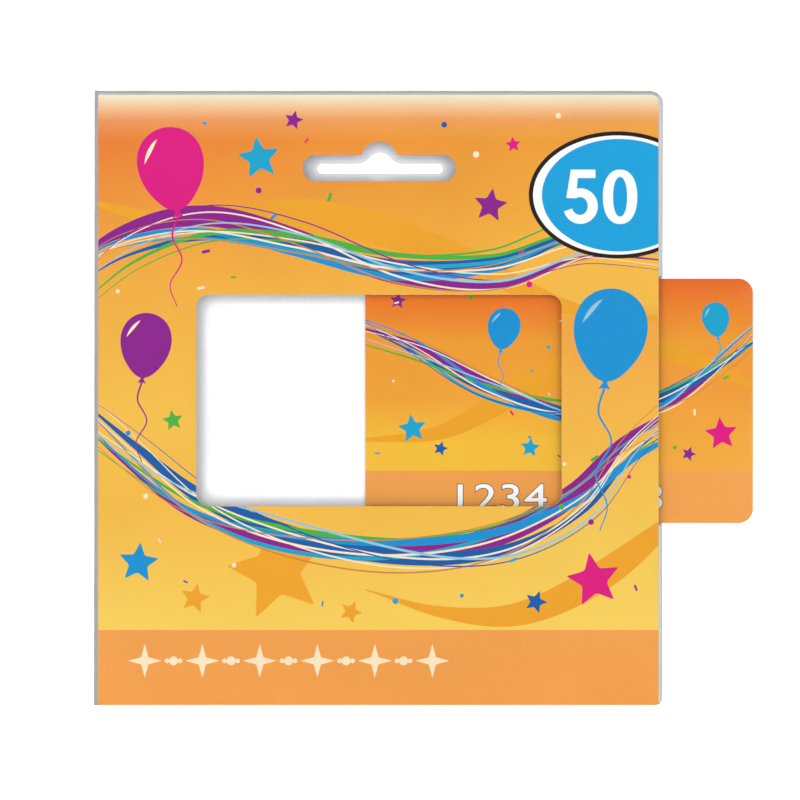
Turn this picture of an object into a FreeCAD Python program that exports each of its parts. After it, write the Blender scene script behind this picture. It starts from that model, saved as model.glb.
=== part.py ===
import FreeCAD, Part
import math
import os

# A slim upright hang-sell carton with a die-cut window, a euro hang slot and a
# plastic card that slides out through the open right-hand side.
# Millimetres. +X right, -Y towards the viewer, +Z up.
# Origin: middle of the bottom face, below the middle of the window.

V = FreeCAD.Vector

# ---- driving dimensions -------------------------------------------------
BOARD = 0.5            # solid bleached board
LEFT = -62.8           # outer faces of the carton
RIGHT = 62.6
TOP = 135.5
DEPTH = 3.2
FOLD_R = 0.9           # outer radius of the rounded folds
BACK_FOLD_R = 0.6      # folds that turn in behind the back panel
BOTTOM_FOLD_R = 0.6    # the tighter printed fold along the bottom
CORNER_TR = 3.0        # outline radius, top right: the walls bend round it
CORNER_BR = 1.6        # bottom right
CORNER_L = 0.35        # both left corners, nearly square

WIN_X0, WIN_X1 = -40.2, 40.3
WIN_Z0, WIN_Z1 = 43.9, 90.5
WIN_R = 2.7

SLOT_Z = 118.6         # middle of the slot's arms
SLOT_W = 33.8          # overall width
SLOT_H = 5.85          # height of the arms
BUMP_R = 4.15          # radius of the round bump over the arms
BUMP_TOP = 124.5
BUMP_FILLET = 0.4      # concave corners between bump and arms
# the slot in the back panel is smaller all round, so that the two never show
# a crooked edge and a rim of the white inside shows through the front one
BSLOT_W = 28.2
BSLOT_H = 2.4
BSLOT_Z = 118.42
BBUMP_R = 3.0
BBUMP_TOP = 122.2
BBUMP_FILLET = 3.4

CARD_W, CARD_H, CARD_T = 85.6, 53.98, 0.76
CARD_R = 3.18
CARD_X0 = -3.0         # left edge as photographed, half slid out
CARD_ZC = 67.1
CARD_Y0 = 0.14         # front face of the card

GUIDE_X0, GUIDE_X1 = -43.1, 61.4
GUIDE_H = 6.05         # width of a spacer strip
GUIDE_GAP = 0.25       # between card edge and spacer
LIP_OVER = 2.5         # how far a lip laps over the card
LIP_BACK = -0.06       # back face of the lips, front face of the spacers
STOP_W = 5.0

MOUTH_Z0, MOUTH_Z1 = 39.6, 94.6   # open part of the right-hand side

STRIPE_H, STRIPE_DOWN, STRIPE_T = 12.7, 4.0, 0.05
SCRATCH_W, SCRATCH_H, SCRATCH_T = 38.0, 8.0, 0.05
SCRATCH_RIGHT_IN, SCRATCH_UP = 8.0, 14.0   # from the card's right and lower edges

# ---- derived ------------------------------------------------------------
FRONT_Y = -DEPTH / 2
BACK_Y = DEPTH / 2
IN_FRONT = FRONT_Y + BOARD      # inner face of the front panel
IN_BACK = BACK_Y - BOARD        # inner face of the back panel
PANEL_X0 = LEFT + FOLD_R
PANEL_X1 = RIGHT - FOLD_R
PANEL_Z0 = BOTTOM_FOLD_R
PANEL_Z1 = TOP - FOLD_R
CARD_Z0 = CARD_ZC - CARD_H / 2
CARD_Z1 = CARD_ZC + CARD_H / 2

os.makedirs("parts", exist_ok=True)


# ---- helpers ------------------------------------------------------------
def box(x0, x1, y0, y1, z0, z1):
    return Part.makeBox(x1 - x0, y1 - y0, z1 - z0, V(x0, y0, z0))


def face_of(points_and_arcs):
    """Closed wire of straight edges and arcs. Items are points, or
    ('arc', middle, end) for an arc from the last point."""
    edges = []
    first = points_and_arcs[0]
    last = first
    for item in points_and_arcs[1:]:
        if isinstance(item, tuple) and item[0] == "arc":
            edges.append(Part.Arc(last, item[1], item[2]).toShape())
            last = item[2]
        else:
            if (item - last).Length > 1e-7:
                edges.append(Part.LineSegment(last, item).toShape())
            last = item
    if (last - first).Length > 1e-7:
        edges.append(Part.LineSegment(last, first).toShape())
    return Part.Face(Part.Wire(edges))


def arc_pts(c, r, a0, a1):
    """Middle and end of a plane arc, as (u, v) pairs."""
    am = math.radians((a0 + a1) / 2)
    ae = math.radians(a1)
    return ((c[0] + r * math.cos(am), c[1] + r * math.sin(am)),
            (c[0] + r * math.cos(ae), c[1] + r * math.sin(ae)))


def outline(items, to3):
    out = []
    for it in items:
        if it[0] == "arc":
            out.append(("arc", to3(*it[1]), to3(*it[2])))
        else:
            out.append(to3(*it))
    return out


def plate(items, y0, y1):
    """Prism between y0 and y1 of an outline in (x, z)."""
    f = face_of(outline(items, lambda u, v: V(u, y0, v)))
    return f.extrude(V(0, y1 - y0, 0))


def along_z(items, z0, z1):
    f = face_of(outline(items, lambda u, v: V(u, v, z0)))
    return f.extrude(V(0, 0, z1 - z0))


def along_x(items, x0, x1):
    f = face_of(outline(items, lambda u, v: V(x0, u, v)))
    return f.extrude(V(x1 - x0, 0, 0))


def rounded(u0, u1, v0, v1, r_bl, r_br, r_tr, r_tl):
    """Rounded rectangle outline, anticlockwise from the lower left."""
    out = [(u0 + r_bl, v0), (u1 - r_br, v0)]
    m, e = arc_pts((u1 - r_br, v0 + r_br), r_br, -90, 0)
    out.append(("arc", m, e))
    out.append((u1, v1 - r_tr))
    m, e = arc_pts((u1 - r_tr, v1 - r_tr), r_tr, 0, 90)
    out.append(("arc", m, e))
    out.append((u0 + r_tl, v1))
    m, e = arc_pts((u0 + r_tl, v1 - r_tl), r_tl, 90, 180)
    out.append(("arc", m, e))
    out.append((u0, v0 + r_bl))
    m, e = arc_pts((u0 + r_bl, v0 + r_bl), r_bl, 180, 270)
    out.append(("arc", m, e))
    return out


def slot_outline(width, height, zc, rb, top, f):
    """Euro slot: a stadium with a round bump over its middle, and its two
    inner corners filleted."""
    hh = height / 2
    x_end = width / 2 - hh               # centres of the end arcs
    cz = top - rb                        # centre of the bump
    z_arm = zc + hh
    # fillet centre: f above the arm line, rb + f from the bump's centre
    dz = z_arm + f - cz
    dx = math.sqrt((rb + f) ** 2 - dz ** 2)
    tx = dx * rb / (rb + f)
    tz = cz + dz * rb / (rb + f)
    out = [(-x_end, zc - hh), (x_end, zc - hh)]
    m, e = arc_pts((x_end, zc), hh, -90, 90)
    out.append(("arc", m, e))
    out.append((dx, z_arm))
    # concave fillet, right: from the arm line up to the bump
    a1 = math.degrees(math.atan2(tz - (z_arm + f), tx - dx))
    if a1 > 0:
        a1 -= 360.0
    m, e = arc_pts((dx, z_arm + f), f, -90.0, a1)
    out.append(("arc", m, (tx, tz)))
    # over the bump
    out.append(("arc", (0.0, cz + rb), (-tx, tz)))
    m2 = (-m[0], m[1])
    out.append(("arc", m2, (-dx, z_arm)))
    out.append((-x_end, z_arm))
    m, e = arc_pts((-x_end, zc), hh, 90, 270)
    out.append(("arc", m, (-x_end, zc - hh)))
    return out


# Trimming bodies: the carton's outline from the front, and its two cross
# sections, so that walls that meet at a corner share one rounded surface.
OUT_XZ = plate(rounded(LEFT, RIGHT, 0, TOP, CORNER_L, CORNER_BR, CORNER_TR, CORNER_L),
               FRONT_Y - 1, BACK_Y + 1)
OUT_XY = along_z(rounded(LEFT, RIGHT, FRONT_Y, BACK_Y, FOLD_R, FOLD_R, 0.02, FOLD_R),
                 -1, TOP + 1)


def yz_profile():
    r = BOTTOM_FOLD_R
    out = [(FRONT_Y + r, 0), (BACK_Y, 0), (BACK_Y, TOP), (FRONT_Y + FOLD_R, TOP)]
    m, e = arc_pts((FRONT_Y + FOLD_R, TOP - FOLD_R), FOLD_R, 90, 180)
    out.append(("arc", m, e))
    out.append((FRONT_Y, r))
    m, e = arc_pts((FRONT_Y + r, r), r, 180, 270)
    out.append(("arc", m, e))
    return out


OUT_YZ = along_x(yz_profile(), LEFT - 1, RIGHT + 1)

# Axis that the top and right-hand walls bend round at the upper right corner
TR_X, TR_Z = RIGHT - CORNER_TR, TOP - CORNER_TR


def top_right_cut(radius):
    """What lies outside a corner of this radius about the bend's axis."""
    block = box(TR_X, RIGHT + 1, FRONT_Y - 1, BACK_Y + 1, TR_Z, TOP + 1)
    return block.cut(Part.makeCylinder(radius, DEPTH + 4, V(TR_X, FRONT_Y - 2, TR_Z), V(0, 1, 0)))


parts = {}

# ---- carton: front and back panels --------------------------------------
window = plate(rounded(WIN_X0, WIN_X1, WIN_Z0, WIN_Z1, WIN_R, WIN_R, WIN_R, WIN_R),
               FRONT_Y - 1, IN_FRONT + 1)
front = box(PANEL_X0, PANEL_X1, FRONT_Y, IN_FRONT, PANEL_Z0, PANEL_Z1)
front = front.common(OUT_XZ)
front = front.cut(top_right_cut(CORNER_TR - FOLD_R))
front = front.cut(window)
front = front.cut(plate(slot_outline(SLOT_W, SLOT_H, SLOT_Z, BUMP_R, BUMP_TOP, BUMP_FILLET),
                        FRONT_Y - 1, IN_FRONT + 1))
parts["front_panel"] = front

back = box(PANEL_X0, RIGHT, IN_BACK, BACK_Y, 0, TOP).common(OUT_XZ)
back = back.cut(plate(slot_outline(BSLOT_W, BSLOT_H, BSLOT_Z, BBUMP_R, BBUMP_TOP, BBUMP_FILLET),
                      IN_BACK - 1, BACK_Y + 1))
parts["back_panel"] = back

# ---- carton: walls -------------------------------------------------------
# left wall: a C section, folded from the front panel and into the back panel
r, t = FOLD_R, BOARD
xc = LEFT + r
sec = [(xc, FRONT_Y)]
m, e = arc_pts((xc, FRONT_Y + r), r, 270, 180)
sec.append(("arc", m, (LEFT, FRONT_Y + r)))
sec.append((LEFT, BACK_Y - r))
m, e = arc_pts((xc, BACK_Y - r), r, 180, 90)
sec.append(("arc", m, (xc, BACK_Y)))
sec.append((xc, IN_BACK))
m, e = arc_pts((xc, BACK_Y - r), r - t, 90, 180)
sec.append(("arc", m, (LEFT + t, BACK_Y - r)))
sec.append((LEFT + t, FRONT_Y + r))
m, e = arc_pts((xc, FRONT_Y + r), r - t, 180, 270)
sec.append(("arc", m, (xc, IN_FRONT)))
parts["left_wall"] = along_z(sec, 0, TOP).common(OUT_XZ)


def wall_section(u_out, sign, r_front):
    """Section of a wall folded from the front panel and turned in behind the
    back panel. u_out is the wall's outer face, sign +1 if it faces +u.
    Items are (u, y)."""
    rb = BACK_FOLD_R
    uf = u_out - sign * r_front
    ub = u_out - sign * rb
    ui = u_out - sign * BOARD
    s = math.sqrt(0.5)
    out = [(uf, FRONT_Y)]
    out.append(("arc", (uf + sign * r_front * s, FRONT_Y + r_front - r_front * s),
                (u_out, FRONT_Y + r_front)))
    out.append((u_out, IN_BACK - rb))
    out.append(("arc", (ub + sign * rb * s, IN_BACK - rb + rb * s), (ub, IN_BACK)))
    out.append((ub, IN_BACK - BOARD))
    q = rb - BOARD
    out.append(("arc", (ub + sign * q * s, IN_BACK - rb + q * s), (ui, IN_BACK - rb)))
    out.append((ui, FRONT_Y + r_front))
    q = r_front - BOARD
    out.append(("arc", (uf + sign * q * s, FRONT_Y + r_front - q * s), (uf, IN_FRONT)))
    return out


def swapped(items):
    out = []
    for it in items:
        if it[0] == "arc":
            out.append(("arc", (it[1][1], it[1][0]), (it[2][1], it[2][0])))
        else:
            out.append((it[1], it[0]))
    return out


top_sec = swapped(wall_section(TOP, 1, FOLD_R))
top = along_x(top_sec, PANEL_X0, TR_X).common(OUT_XZ).common(OUT_XY)
top_bend = face_of(outline(top_sec, lambda u, v: V(TR_X, u, v)))
top_bend = top_bend.revolve(V(TR_X, 0, TR_Z), V(0, 1, 0), 45)
parts["top_wall"] = top.fuse(top_bend)

bottom = along_x(swapped(wall_section(0, -1, BOTTOM_FOLD_R)), PANEL_X0, RIGHT)
bottom = bottom.common(OUT_XZ).common(OUT_XY)
parts["bottom_wall"] = bottom

side = wall_section(RIGHT, 1, FOLD_R)
upper = along_z(side, MOUTH_Z1, TR_Z)
upper_bend = face_of(outline(side, lambda u, v: V(u, v, TR_Z)))
upper = upper.fuse(upper_bend.revolve(V(TR_X, 0, TR_Z), V(0, 1, 0), -45))
lower = along_z(side, 0, MOUTH_Z0).common(OUT_XZ).common(OUT_YZ).cut(bottom)
parts["right_upper_wall"] = upper
# one solid: crumbs behind the corner rounding are left out
parts["right_lower_wall"] = max(lower.Solids, key=lambda s: s.Volume)
# ---- carton: glue flaps, lying on the back panel's inner face --------------
F0, F1 = IN_BACK - BOARD, IN_BACK
zt = TOP - BACK_FOLD_R
parts["top_glue_flap"] = plate([(-60.5, zt), (-57.5, zt - 8.2), (56.4, zt - 8.2), (59.4, zt)], F0, F1)
zb = BACK_FOLD_R
parts["bottom_glue_flap"] = plate([(-60.5, zb), (60.0, zb), (57.0, zb + 8.6), (-57.5, zb + 8.6)], F0, F1)
xr = RIGHT - BACK_FOLD_R
parts["right_upper_glue_flap"] = plate([(xr, 101.2), (xr, 132.3), (xr - 0.6, 132.3), (xr - 4.2, 126.0),
                                        (xr - 8.4, 124.6), (xr - 8.4, 103.4)], F0, F1)
parts["right_upper_glue_flap"] = parts["right_upper_glue_flap"].cut(
    plate([(-61.0, zt + 0.1), (-57.8, zt - 8.4), (56.7, zt - 8.4), (59.7, zt + 0.1)], F0 - 1, F1 + 1))
parts["right_lower_glue_flap"] = plate([(xr, 2.4), (xr, 33.4), (xr - 8.4, 31.2), (xr - 8.4, 10.8),
                                        (xr - 4.2, 9.6), (xr - 0.6, 2.4)], F0, F1)

# ---- card guides: two laminated strips over and under the card ---------------
gz1 = CARD_Z1 + GUIDE_GAP
gz0 = CARD_Z0 - GUIDE_GAP
parts["upper_guide_spacer"] = box(GUIDE_X0, GUIDE_X1, LIP_BACK, IN_BACK, gz1, gz1 + GUIDE_H)
parts["upper_guide_lip"] = box(GUIDE_X0, GUIDE_X1, IN_FRONT, LIP_BACK, CARD_Z1 - LIP_OVER, gz1 + GUIDE_H)
parts["lower_guide_spacer"] = box(GUIDE_X0, GUIDE_X1, LIP_BACK, IN_BACK, gz0 - GUIDE_H, gz0)
parts["lower_guide_lip"] = box(GUIDE_X0, GUIDE_X1, IN_FRONT, LIP_BACK, gz0 - GUIDE_H, CARD_Z0 + LIP_OVER)
parts["card_stop"] = box(GUIDE_X0 - STOP_W, GUIDE_X0, IN_FRONT, IN_BACK, gz0 - GUIDE_H, gz1 + GUIDE_H)

# ---- the card ------------------------------------------------------------------
card = plate(rounded(CARD_X0, CARD_X0 + CARD_W, CARD_Z0, CARD_Z1, CARD_R, CARD_R, CARD_R, CARD_R),
             CARD_Y0, CARD_Y0 + CARD_T)
parts["gift_card"] = card
cb = CARD_Y0 + CARD_T
parts["magnetic_stripe"] = box(CARD_X0, CARD_X0 + CARD_W, cb, cb + STRIPE_T,
                               CARD_Z1 - STRIPE_DOWN - STRIPE_H, CARD_Z1 - STRIPE_DOWN)
sx1 = CARD_X0 + CARD_W - SCRATCH_RIGHT_IN
sz0 = CARD_Z0 + SCRATCH_UP
parts["scratch_off_panel"] = box(sx1 - SCRATCH_W, sx1, cb, cb + SCRATCH_T, sz0, sz0 + SCRATCH_H)

# ---- out --------------------------------------------------------------------------
for name, shape in parts.items():
    if shape.ShapeType == "Compound" and len(shape.Solids) == 1:
        shape = shape.Solids[0]
    if shape.ShapeType == "Solid":
        try:
            shape = shape.removeSplitter()
        except Exception:
            pass
    bb = shape.BoundBox
    print("%-24s solids %d valid %s vol %9.2f  x %.2f..%.2f y %.2f..%.2f z %.2f..%.2f" % (
        name, len(shape.Solids), shape.isValid(), shape.Volume,
        bb.XMin, bb.XMax, bb.YMin, bb.YMax, bb.ZMin, bb.ZMax))
    shape.exportStep("parts/%s.step" % name)

names = list(parts)
for i, a in enumerate(names):
    for b in names[i + 1:]:
        v = parts[a].common(parts[b]).Volume
        if v > 1e-4:
            print("overlap", a, b, round(v, 4))
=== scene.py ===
import math
import random

import bmesh
import bpy
import numpy as np
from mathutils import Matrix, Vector
from mathutils.geometry import delaunay_2d_cdt


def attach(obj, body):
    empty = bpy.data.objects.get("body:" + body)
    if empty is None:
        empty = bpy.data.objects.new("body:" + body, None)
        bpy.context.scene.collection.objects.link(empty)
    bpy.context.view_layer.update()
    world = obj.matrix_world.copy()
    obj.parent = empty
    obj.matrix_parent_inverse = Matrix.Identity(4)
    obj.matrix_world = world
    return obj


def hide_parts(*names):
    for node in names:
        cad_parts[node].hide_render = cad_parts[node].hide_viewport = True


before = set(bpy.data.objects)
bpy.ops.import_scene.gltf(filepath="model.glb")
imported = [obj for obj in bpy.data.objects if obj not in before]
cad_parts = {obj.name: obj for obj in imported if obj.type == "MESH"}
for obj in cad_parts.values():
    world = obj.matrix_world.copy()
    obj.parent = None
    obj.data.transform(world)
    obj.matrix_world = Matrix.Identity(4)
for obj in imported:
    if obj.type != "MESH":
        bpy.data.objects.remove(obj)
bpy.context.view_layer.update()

MM = 0.001

# ------------------------------------------------------------------ sizes (mm)
LEFT, RIGHT, TOP = -62.8, 62.6, 135.5
FRONT, BACK = -1.6, 1.6
BOARD = 0.5
IN_FRONT, IN_BACK = FRONT + BOARD, BACK - BOARD
FOLD = 0.9
BOTTOM_FOLD = 0.6
BACK_FOLD = 0.6
PX0, PX1, PZ0, PZ1 = LEFT + FOLD, RIGHT - FOLD, BOTTOM_FOLD, TOP - FOLD
CORNER_TR, CORNER_BR = 3.0, 1.6
MOUTH0, MOUTH1 = 39.6, 94.6
WIN = (-40.2, 40.3, 43.9, 90.5, 2.7)
CARD_X0, CARD_W, CARD_H, CARD_T, CARD_R = -3.0, 85.6, 53.98, 0.76, 3.18
CARD_Z0 = 67.1 - CARD_H / 2
CARD_Z1 = 67.1 + CARD_H / 2
CARD_Y0 = 0.14
BAND_TOP = 16.6
CARD_BAND = 51.7


# ------------------------------------------------------------------ flat shapes
def arc(cx, cz, r, a0, a1, n):
    return [(cx + r * math.cos(math.radians(a0 + (a1 - a0) * i / n)),
             cz + r * math.sin(math.radians(a0 + (a1 - a0) * i / n))) for i in range(n + 1)]


def clean(loop):
    out = []
    for p in loop:
        if not out or math.hypot(p[0] - out[-1][0], p[1] - out[-1][1]) > 1e-4:
            out.append((float(p[0]), float(p[1])))
    if math.hypot(out[0][0] - out[-1][0], out[0][1] - out[-1][1]) < 1e-4:
        out.pop()
    return out


def rounded(x0, x1, z0, z1, rbl, rbr, rtr, rtl, n=10):
    loop = []
    for cx, cz, r, a in ((x0 + rbl, z0 + rbl, rbl, 180), (x1 - rbr, z0 + rbr, rbr, 270),
                         (x1 - rtr, z1 - rtr, rtr, 0), (x0 + rtl, z1 - rtl, rtl, 90)):
        loop += arc(cx, cz, r, a, a + 90, n) if r > 0.01 else [(cx, cz)]
    return clean(loop)


def euro_slot(w, h, zc, rb, top, f, n=10):
    hh = h / 2
    xe = w / 2 - hh
    cz = top - rb
    za = zc + hh
    dz = za + f - cz
    dx = math.sqrt((rb + f) ** 2 - dz ** 2)
    phi = math.degrees(math.atan2(dz, dx))      # from the bump's centre to the fillet's
    loop = [(-xe, zc - hh)]
    loop += arc(xe, zc, hh, -90, 90, 2 * n)
    loop += arc(dx, za + f, f, 270, 180 + phi, n // 2 + 2)
    loop += arc(0, cz, rb, phi, 180 - phi, 2 * n)
    loop += arc(-dx, za + f, f, -phi, -90, n // 2 + 2)
    loop += arc(-xe, zc, hh, 90, 270, 2 * n)
    return clean(loop)


def area(loop):
    s = 0.0
    for (x0, z0), (x1, z1) in zip(loop, loop[1:] + loop[:1]):
        s += x0 * z1 - x1 * z0
    return s / 2


def offset(loop, d):
    """Grows an anticlockwise loop by d, or shrinks it with d < 0."""
    if area(loop) < 0:
        loop = loop[::-1]
    n = len(loop)
    out = []
    for i in range(n):
        (ax, az), (bx, bz), (cx, cz) = loop[i - 1], loop[i], loop[(i + 1) % n]
        l1, l2 = math.hypot(bx - ax, bz - az), math.hypot(cx - bx, cz - bz)
        n1 = ((bz - az) / l1, -(bx - ax) / l1)
        n2 = ((cz - bz) / l2, -(cx - bx) / l2)
        mx, mz = n1[0] + n2[0], n1[1] + n2[1]
        k = mx * mx + mz * mz
        s = 2 * d / k if k > 0.5 else d
        out.append((bx + mx * s, bz + mz * s))
    return out


def spline(points, n=14):
    """Catmull-Rom through the points."""
    p = [np.array(q, float) for q in points]
    p = [2 * p[0] - p[1]] + p + [2 * p[-1] - p[-2]]
    out = []
    for i in range(1, len(p) - 2):
        for k in range(n):
            t = k / n
            out.append(0.5 * ((2 * p[i]) + (-p[i - 1] + p[i + 1]) * t
                              + (2 * p[i - 1] - 5 * p[i] + 4 * p[i + 1] - p[i + 2]) * t * t
                              + (-p[i - 1] + 3 * p[i] - 3 * p[i + 1] + p[i + 2]) * t ** 3))
    out.append(p[-2])
    return np.array(out)


def stroke(path, width):
    """Outline of a line whose width varies: width(t) with t from 0 to 1."""
    path = np.asarray(path, float)
    tan = np.gradient(path, axis=0)
    tan /= np.linalg.norm(tan, axis=1)[:, None] + 1e-12
    nor = np.stack([-tan[:, 1], tan[:, 0]], axis=1)
    seg = np.r_[0, np.cumsum(np.linalg.norm(np.diff(path, axis=0), axis=1))]
    t = seg / seg[-1]
    w = np.array([max(width(v), 0.02) for v in t]) / 2
    a = path + nor * w[:, None]
    b = path - nor * w[:, None]
    return clean([tuple(q) for q in a] + [tuple(q) for q in b[::-1]])


def swell(peak, low=0.12, at=0.5, power=1.4):
    """A width that rises to peak at t = at and thins out to both ends."""
    def f(t):
        s = t / at if t < at else (1 - t) / (1 - at)
        s = max(0.0, min(1.0, s))
        return low + (peak - low) * math.sin(math.pi / 2 * s) ** power
    return f


def ellipse(cx, cz, a, b, n=96, tilt=0.0):
    c, s = math.cos(tilt), math.sin(tilt)
    out = []
    for i in range(n):
        u, v = a * math.cos(2 * math.pi * i / n), b * math.sin(2 * math.pi * i / n)
        out.append((cx + u * c - v * s, cz + u * s + v * c))
    return out


def star(cx, cz, r, points=5, inner=0.46, rot=90.0, soft=0.10):
    """A star with slightly rounded tips and valleys."""
    raw = []
    for i in range(2 * points):
        q = r if i % 2 == 0 else r * inner
        a = math.radians(rot + 180.0 * i / points)
        raw.append(np.array([cx + q * math.cos(a), cz + q * math.sin(a)]))
    out = []
    m = len(raw)
    for i in range(m):
        a, b, c = raw[i - 1], raw[i], raw[(i + 1) % m]
        ua, uc = (a - b) / np.linalg.norm(a - b), (c - b) / np.linalg.norm(c - b)
        s = soft * r
        p0, p2 = b + ua * s, b + uc * s
        for t in (0, 0.25, 0.5, 0.75, 1):
            out.append(tuple((1 - t) ** 2 * p0 + 2 * t * (1 - t) * b + t * t * p2))
    return clean(out)


def balloon(cx, cz, w, h, tilt=0.0, n=96):
    """Outline of a balloon with its knot, and where its string is tied."""
    pts = []
    for i in range(n + 1):
        th = math.radians(185 + 350.0 * i / n)
        x = w / 2 * math.sin(th) * (1 + 0.13 * math.cos(th))
        z = h / 2 * math.cos(th)
        if math.cos(th) < -0.6:
            z -= h * 0.04 * ((-math.cos(th) - 0.6) / 0.4) ** 2
        pts.append((x, z))
    zb = -h / 2 - h * 0.04
    k = w * 0.085
    pts += [(0.34 * k, zb - 0.25 * k), (1.0 * k, zb - 1.25 * k), (0.35 * k, zb - 1.12 * k), (0.0, zb - 1.0 * k),
            (-0.35 * k, zb - 1.12 * k), (-1.0 * k, zb - 1.25 * k), (-0.34 * k, zb - 0.25 * k)]
    return clean(placed(pts, cx, cz, tilt)), placed([(0.0, zb - 0.95 * k)], cx, cz, tilt)[0]


def placed(points, cx, cz, tilt):
    c, s = math.cos(math.radians(-tilt)), math.sin(math.radians(-tilt))
    return [(cx + x * c - z * s, cz + x * s + z * c) for x, z in points]


def figure_zero(h, x, z, wide=0.63):
    """A bold 0 of height h: its outer and inner outline."""
    def ring(a, b, p):
        out = []
        for i in range(72):
            t = 2 * math.pi * i / 72
            c, q = math.cos(t), math.sin(t)
            out.append((x + wide * h / 2 + a * math.copysign(abs(c) ** (2 / p), c),
                        z + h / 2 + b * math.copysign(abs(q) ** (2 / p), q)))
        return out
    return [ring(wide * h / 2, h / 2, 2.25), ring((wide / 2 - 0.185) * h, 0.365 * h, 2.15)]


def figure_five(h, x, z):
    """A bold 5 of height h, as loops that overlap."""
    bowl = []
    for i in range(41):
        a = math.radians(122 - 285.0 * i / 40)
        bowl.append((0.305 + 0.232 * math.cos(a), 0.330 + 0.246 * math.sin(a)))
    bowl = stroke(bowl, lambda t: 0.160 + 0.024 * math.exp(-((t - 0.435) / 0.21) ** 2))
    bar = [(0.135, 0.845), (0.585, 0.845), (0.585, 1.0), (0.135, 1.0)]
    stem = [(0.050, 0.478), (0.226, 0.472), (0.262, 0.860), (0.135, 1.0)]
    out = []
    for loop in (bowl, bar, stem):
        loop = [(x + u * h, z + v * h) for u, v in loop]
        out.append(loop if area(loop) > 0 else loop[::-1])
    return out


def round_outside(loop, loops):
    """Whether a loop is an outer outline, so not a hole in another of loops."""
    x, z = loop[0]
    return not any(q is not loop and inside(np.array([x]), np.array([z]), [q], False)[0] for q in loops)


def grown(loop, d):
    """Moves a loop's points out by d, or in with d < 0, with little at sharp turns."""
    p = np.array(loop if area(loop) > 0 else loop[::-1])
    a, b = p - np.roll(p, 1, axis=0), np.roll(p, -1, axis=0) - p
    na = np.stack([a[:, 1], -a[:, 0]], axis=1) / np.linalg.norm(a, axis=1)[:, None]
    nb = np.stack([b[:, 1], -b[:, 0]], axis=1) / np.linalg.norm(b, axis=1)[:, None]
    m = na + nb
    k = np.maximum(np.sum(m * m, axis=1), 0.8)[:, None]
    return [(float(u), float(v)) for u, v in p + m * (2 * d / k)]


def glyphs(text, height, width, x, z, bold=0.0, edge=0.0, gap=1.0):
    """Outlines of plain numerals: height is a figure's, width the whole row's,
    x and z its lower left. With an edge, in mm, they grow by that all round."""
    cu = bpy.data.curves.new("figures", "FONT")
    cu.body = text
    cu.size = 1.0
    cu.offset = bold
    cu.space_character = gap
    cu.resolution_u = 8
    ob = bpy.data.objects.new("figures", cu)
    bpy.context.scene.collection.objects.link(ob)
    bpy.context.view_layer.update()
    me = bpy.data.meshes.new_from_object(ob.evaluated_get(bpy.context.evaluated_depsgraph_get()))
    bm = bmesh.new()
    bm.from_mesh(me)
    bmesh.ops.remove_doubles(bm, verts=bm.verts, dist=1e-5)
    nxt = {}
    for e in bm.edges:
        if len(e.link_faces) == 1:
            a, b = e.verts
            nxt.setdefault(a.index, []).append(b.index)
            nxt.setdefault(b.index, []).append(a.index)
    co = {v.index: (v.co.x, v.co.y) for v in bm.verts}
    bm.free()
    bpy.data.meshes.remove(me)
    bpy.data.objects.remove(ob)
    bpy.data.curves.remove(cu)
    loops, seen = [], set()
    for start in sorted(nxt):
        if start in seen:
            continue
        loop, prev, cur = [], None, start
        while cur is not None and cur not in seen:
            seen.add(cur)
            loop.append(co[cur])
            step = [k for k in nxt[cur] if k != prev and k not in seen]
            prev, cur = cur, (step[0] if step else None)
        if len(loop) > 2:
            loops.append(loop)
    lo = np.min([np.min(np.array(q), axis=0) for q in loops], axis=0)
    hi = np.max([np.max(np.array(q), axis=0) for q in loops], axis=0)
    kx, kz = width / (hi[0] - lo[0]), height / (hi[1] - lo[1])
    out = [clean([(x + (a - lo[0]) * kx, z + (b - lo[1]) * kz) for a, b in q]) for q in loops]
    return [grown(q, edge * (1 if round_outside(q, out) else -1)) for q in out] if edge else out


# ------------------------------------------------------------------ mesh builders
def inside(px, pz, loops, nonzero):
    """Which points lie inside the loops."""
    wind = np.zeros(len(px), int)
    cross = np.zeros(len(px), int)
    for loop in loops:
        q = np.array(loop)
        x0, z0 = q[:, 0], q[:, 1]
        x1, z1 = np.roll(x0, -1), np.roll(z0, -1)
        for a, b, c, d in zip(x0, z0, x1, z1):
            up = (b <= pz) & (d > pz)
            dn = (b > pz) & (d <= pz)
            if not (up.any() or dn.any()):
                continue
            left = (c - a) * (pz - b) - (px - a) * (d - b)
            wind += (up & (left > 0)).astype(int) - (dn & (left < 0)).astype(int)
            cross += ((up & (left > 0)) | (dn & (left < 0))).astype(int)
    return wind != 0 if nonzero else cross % 2 == 1


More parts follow.
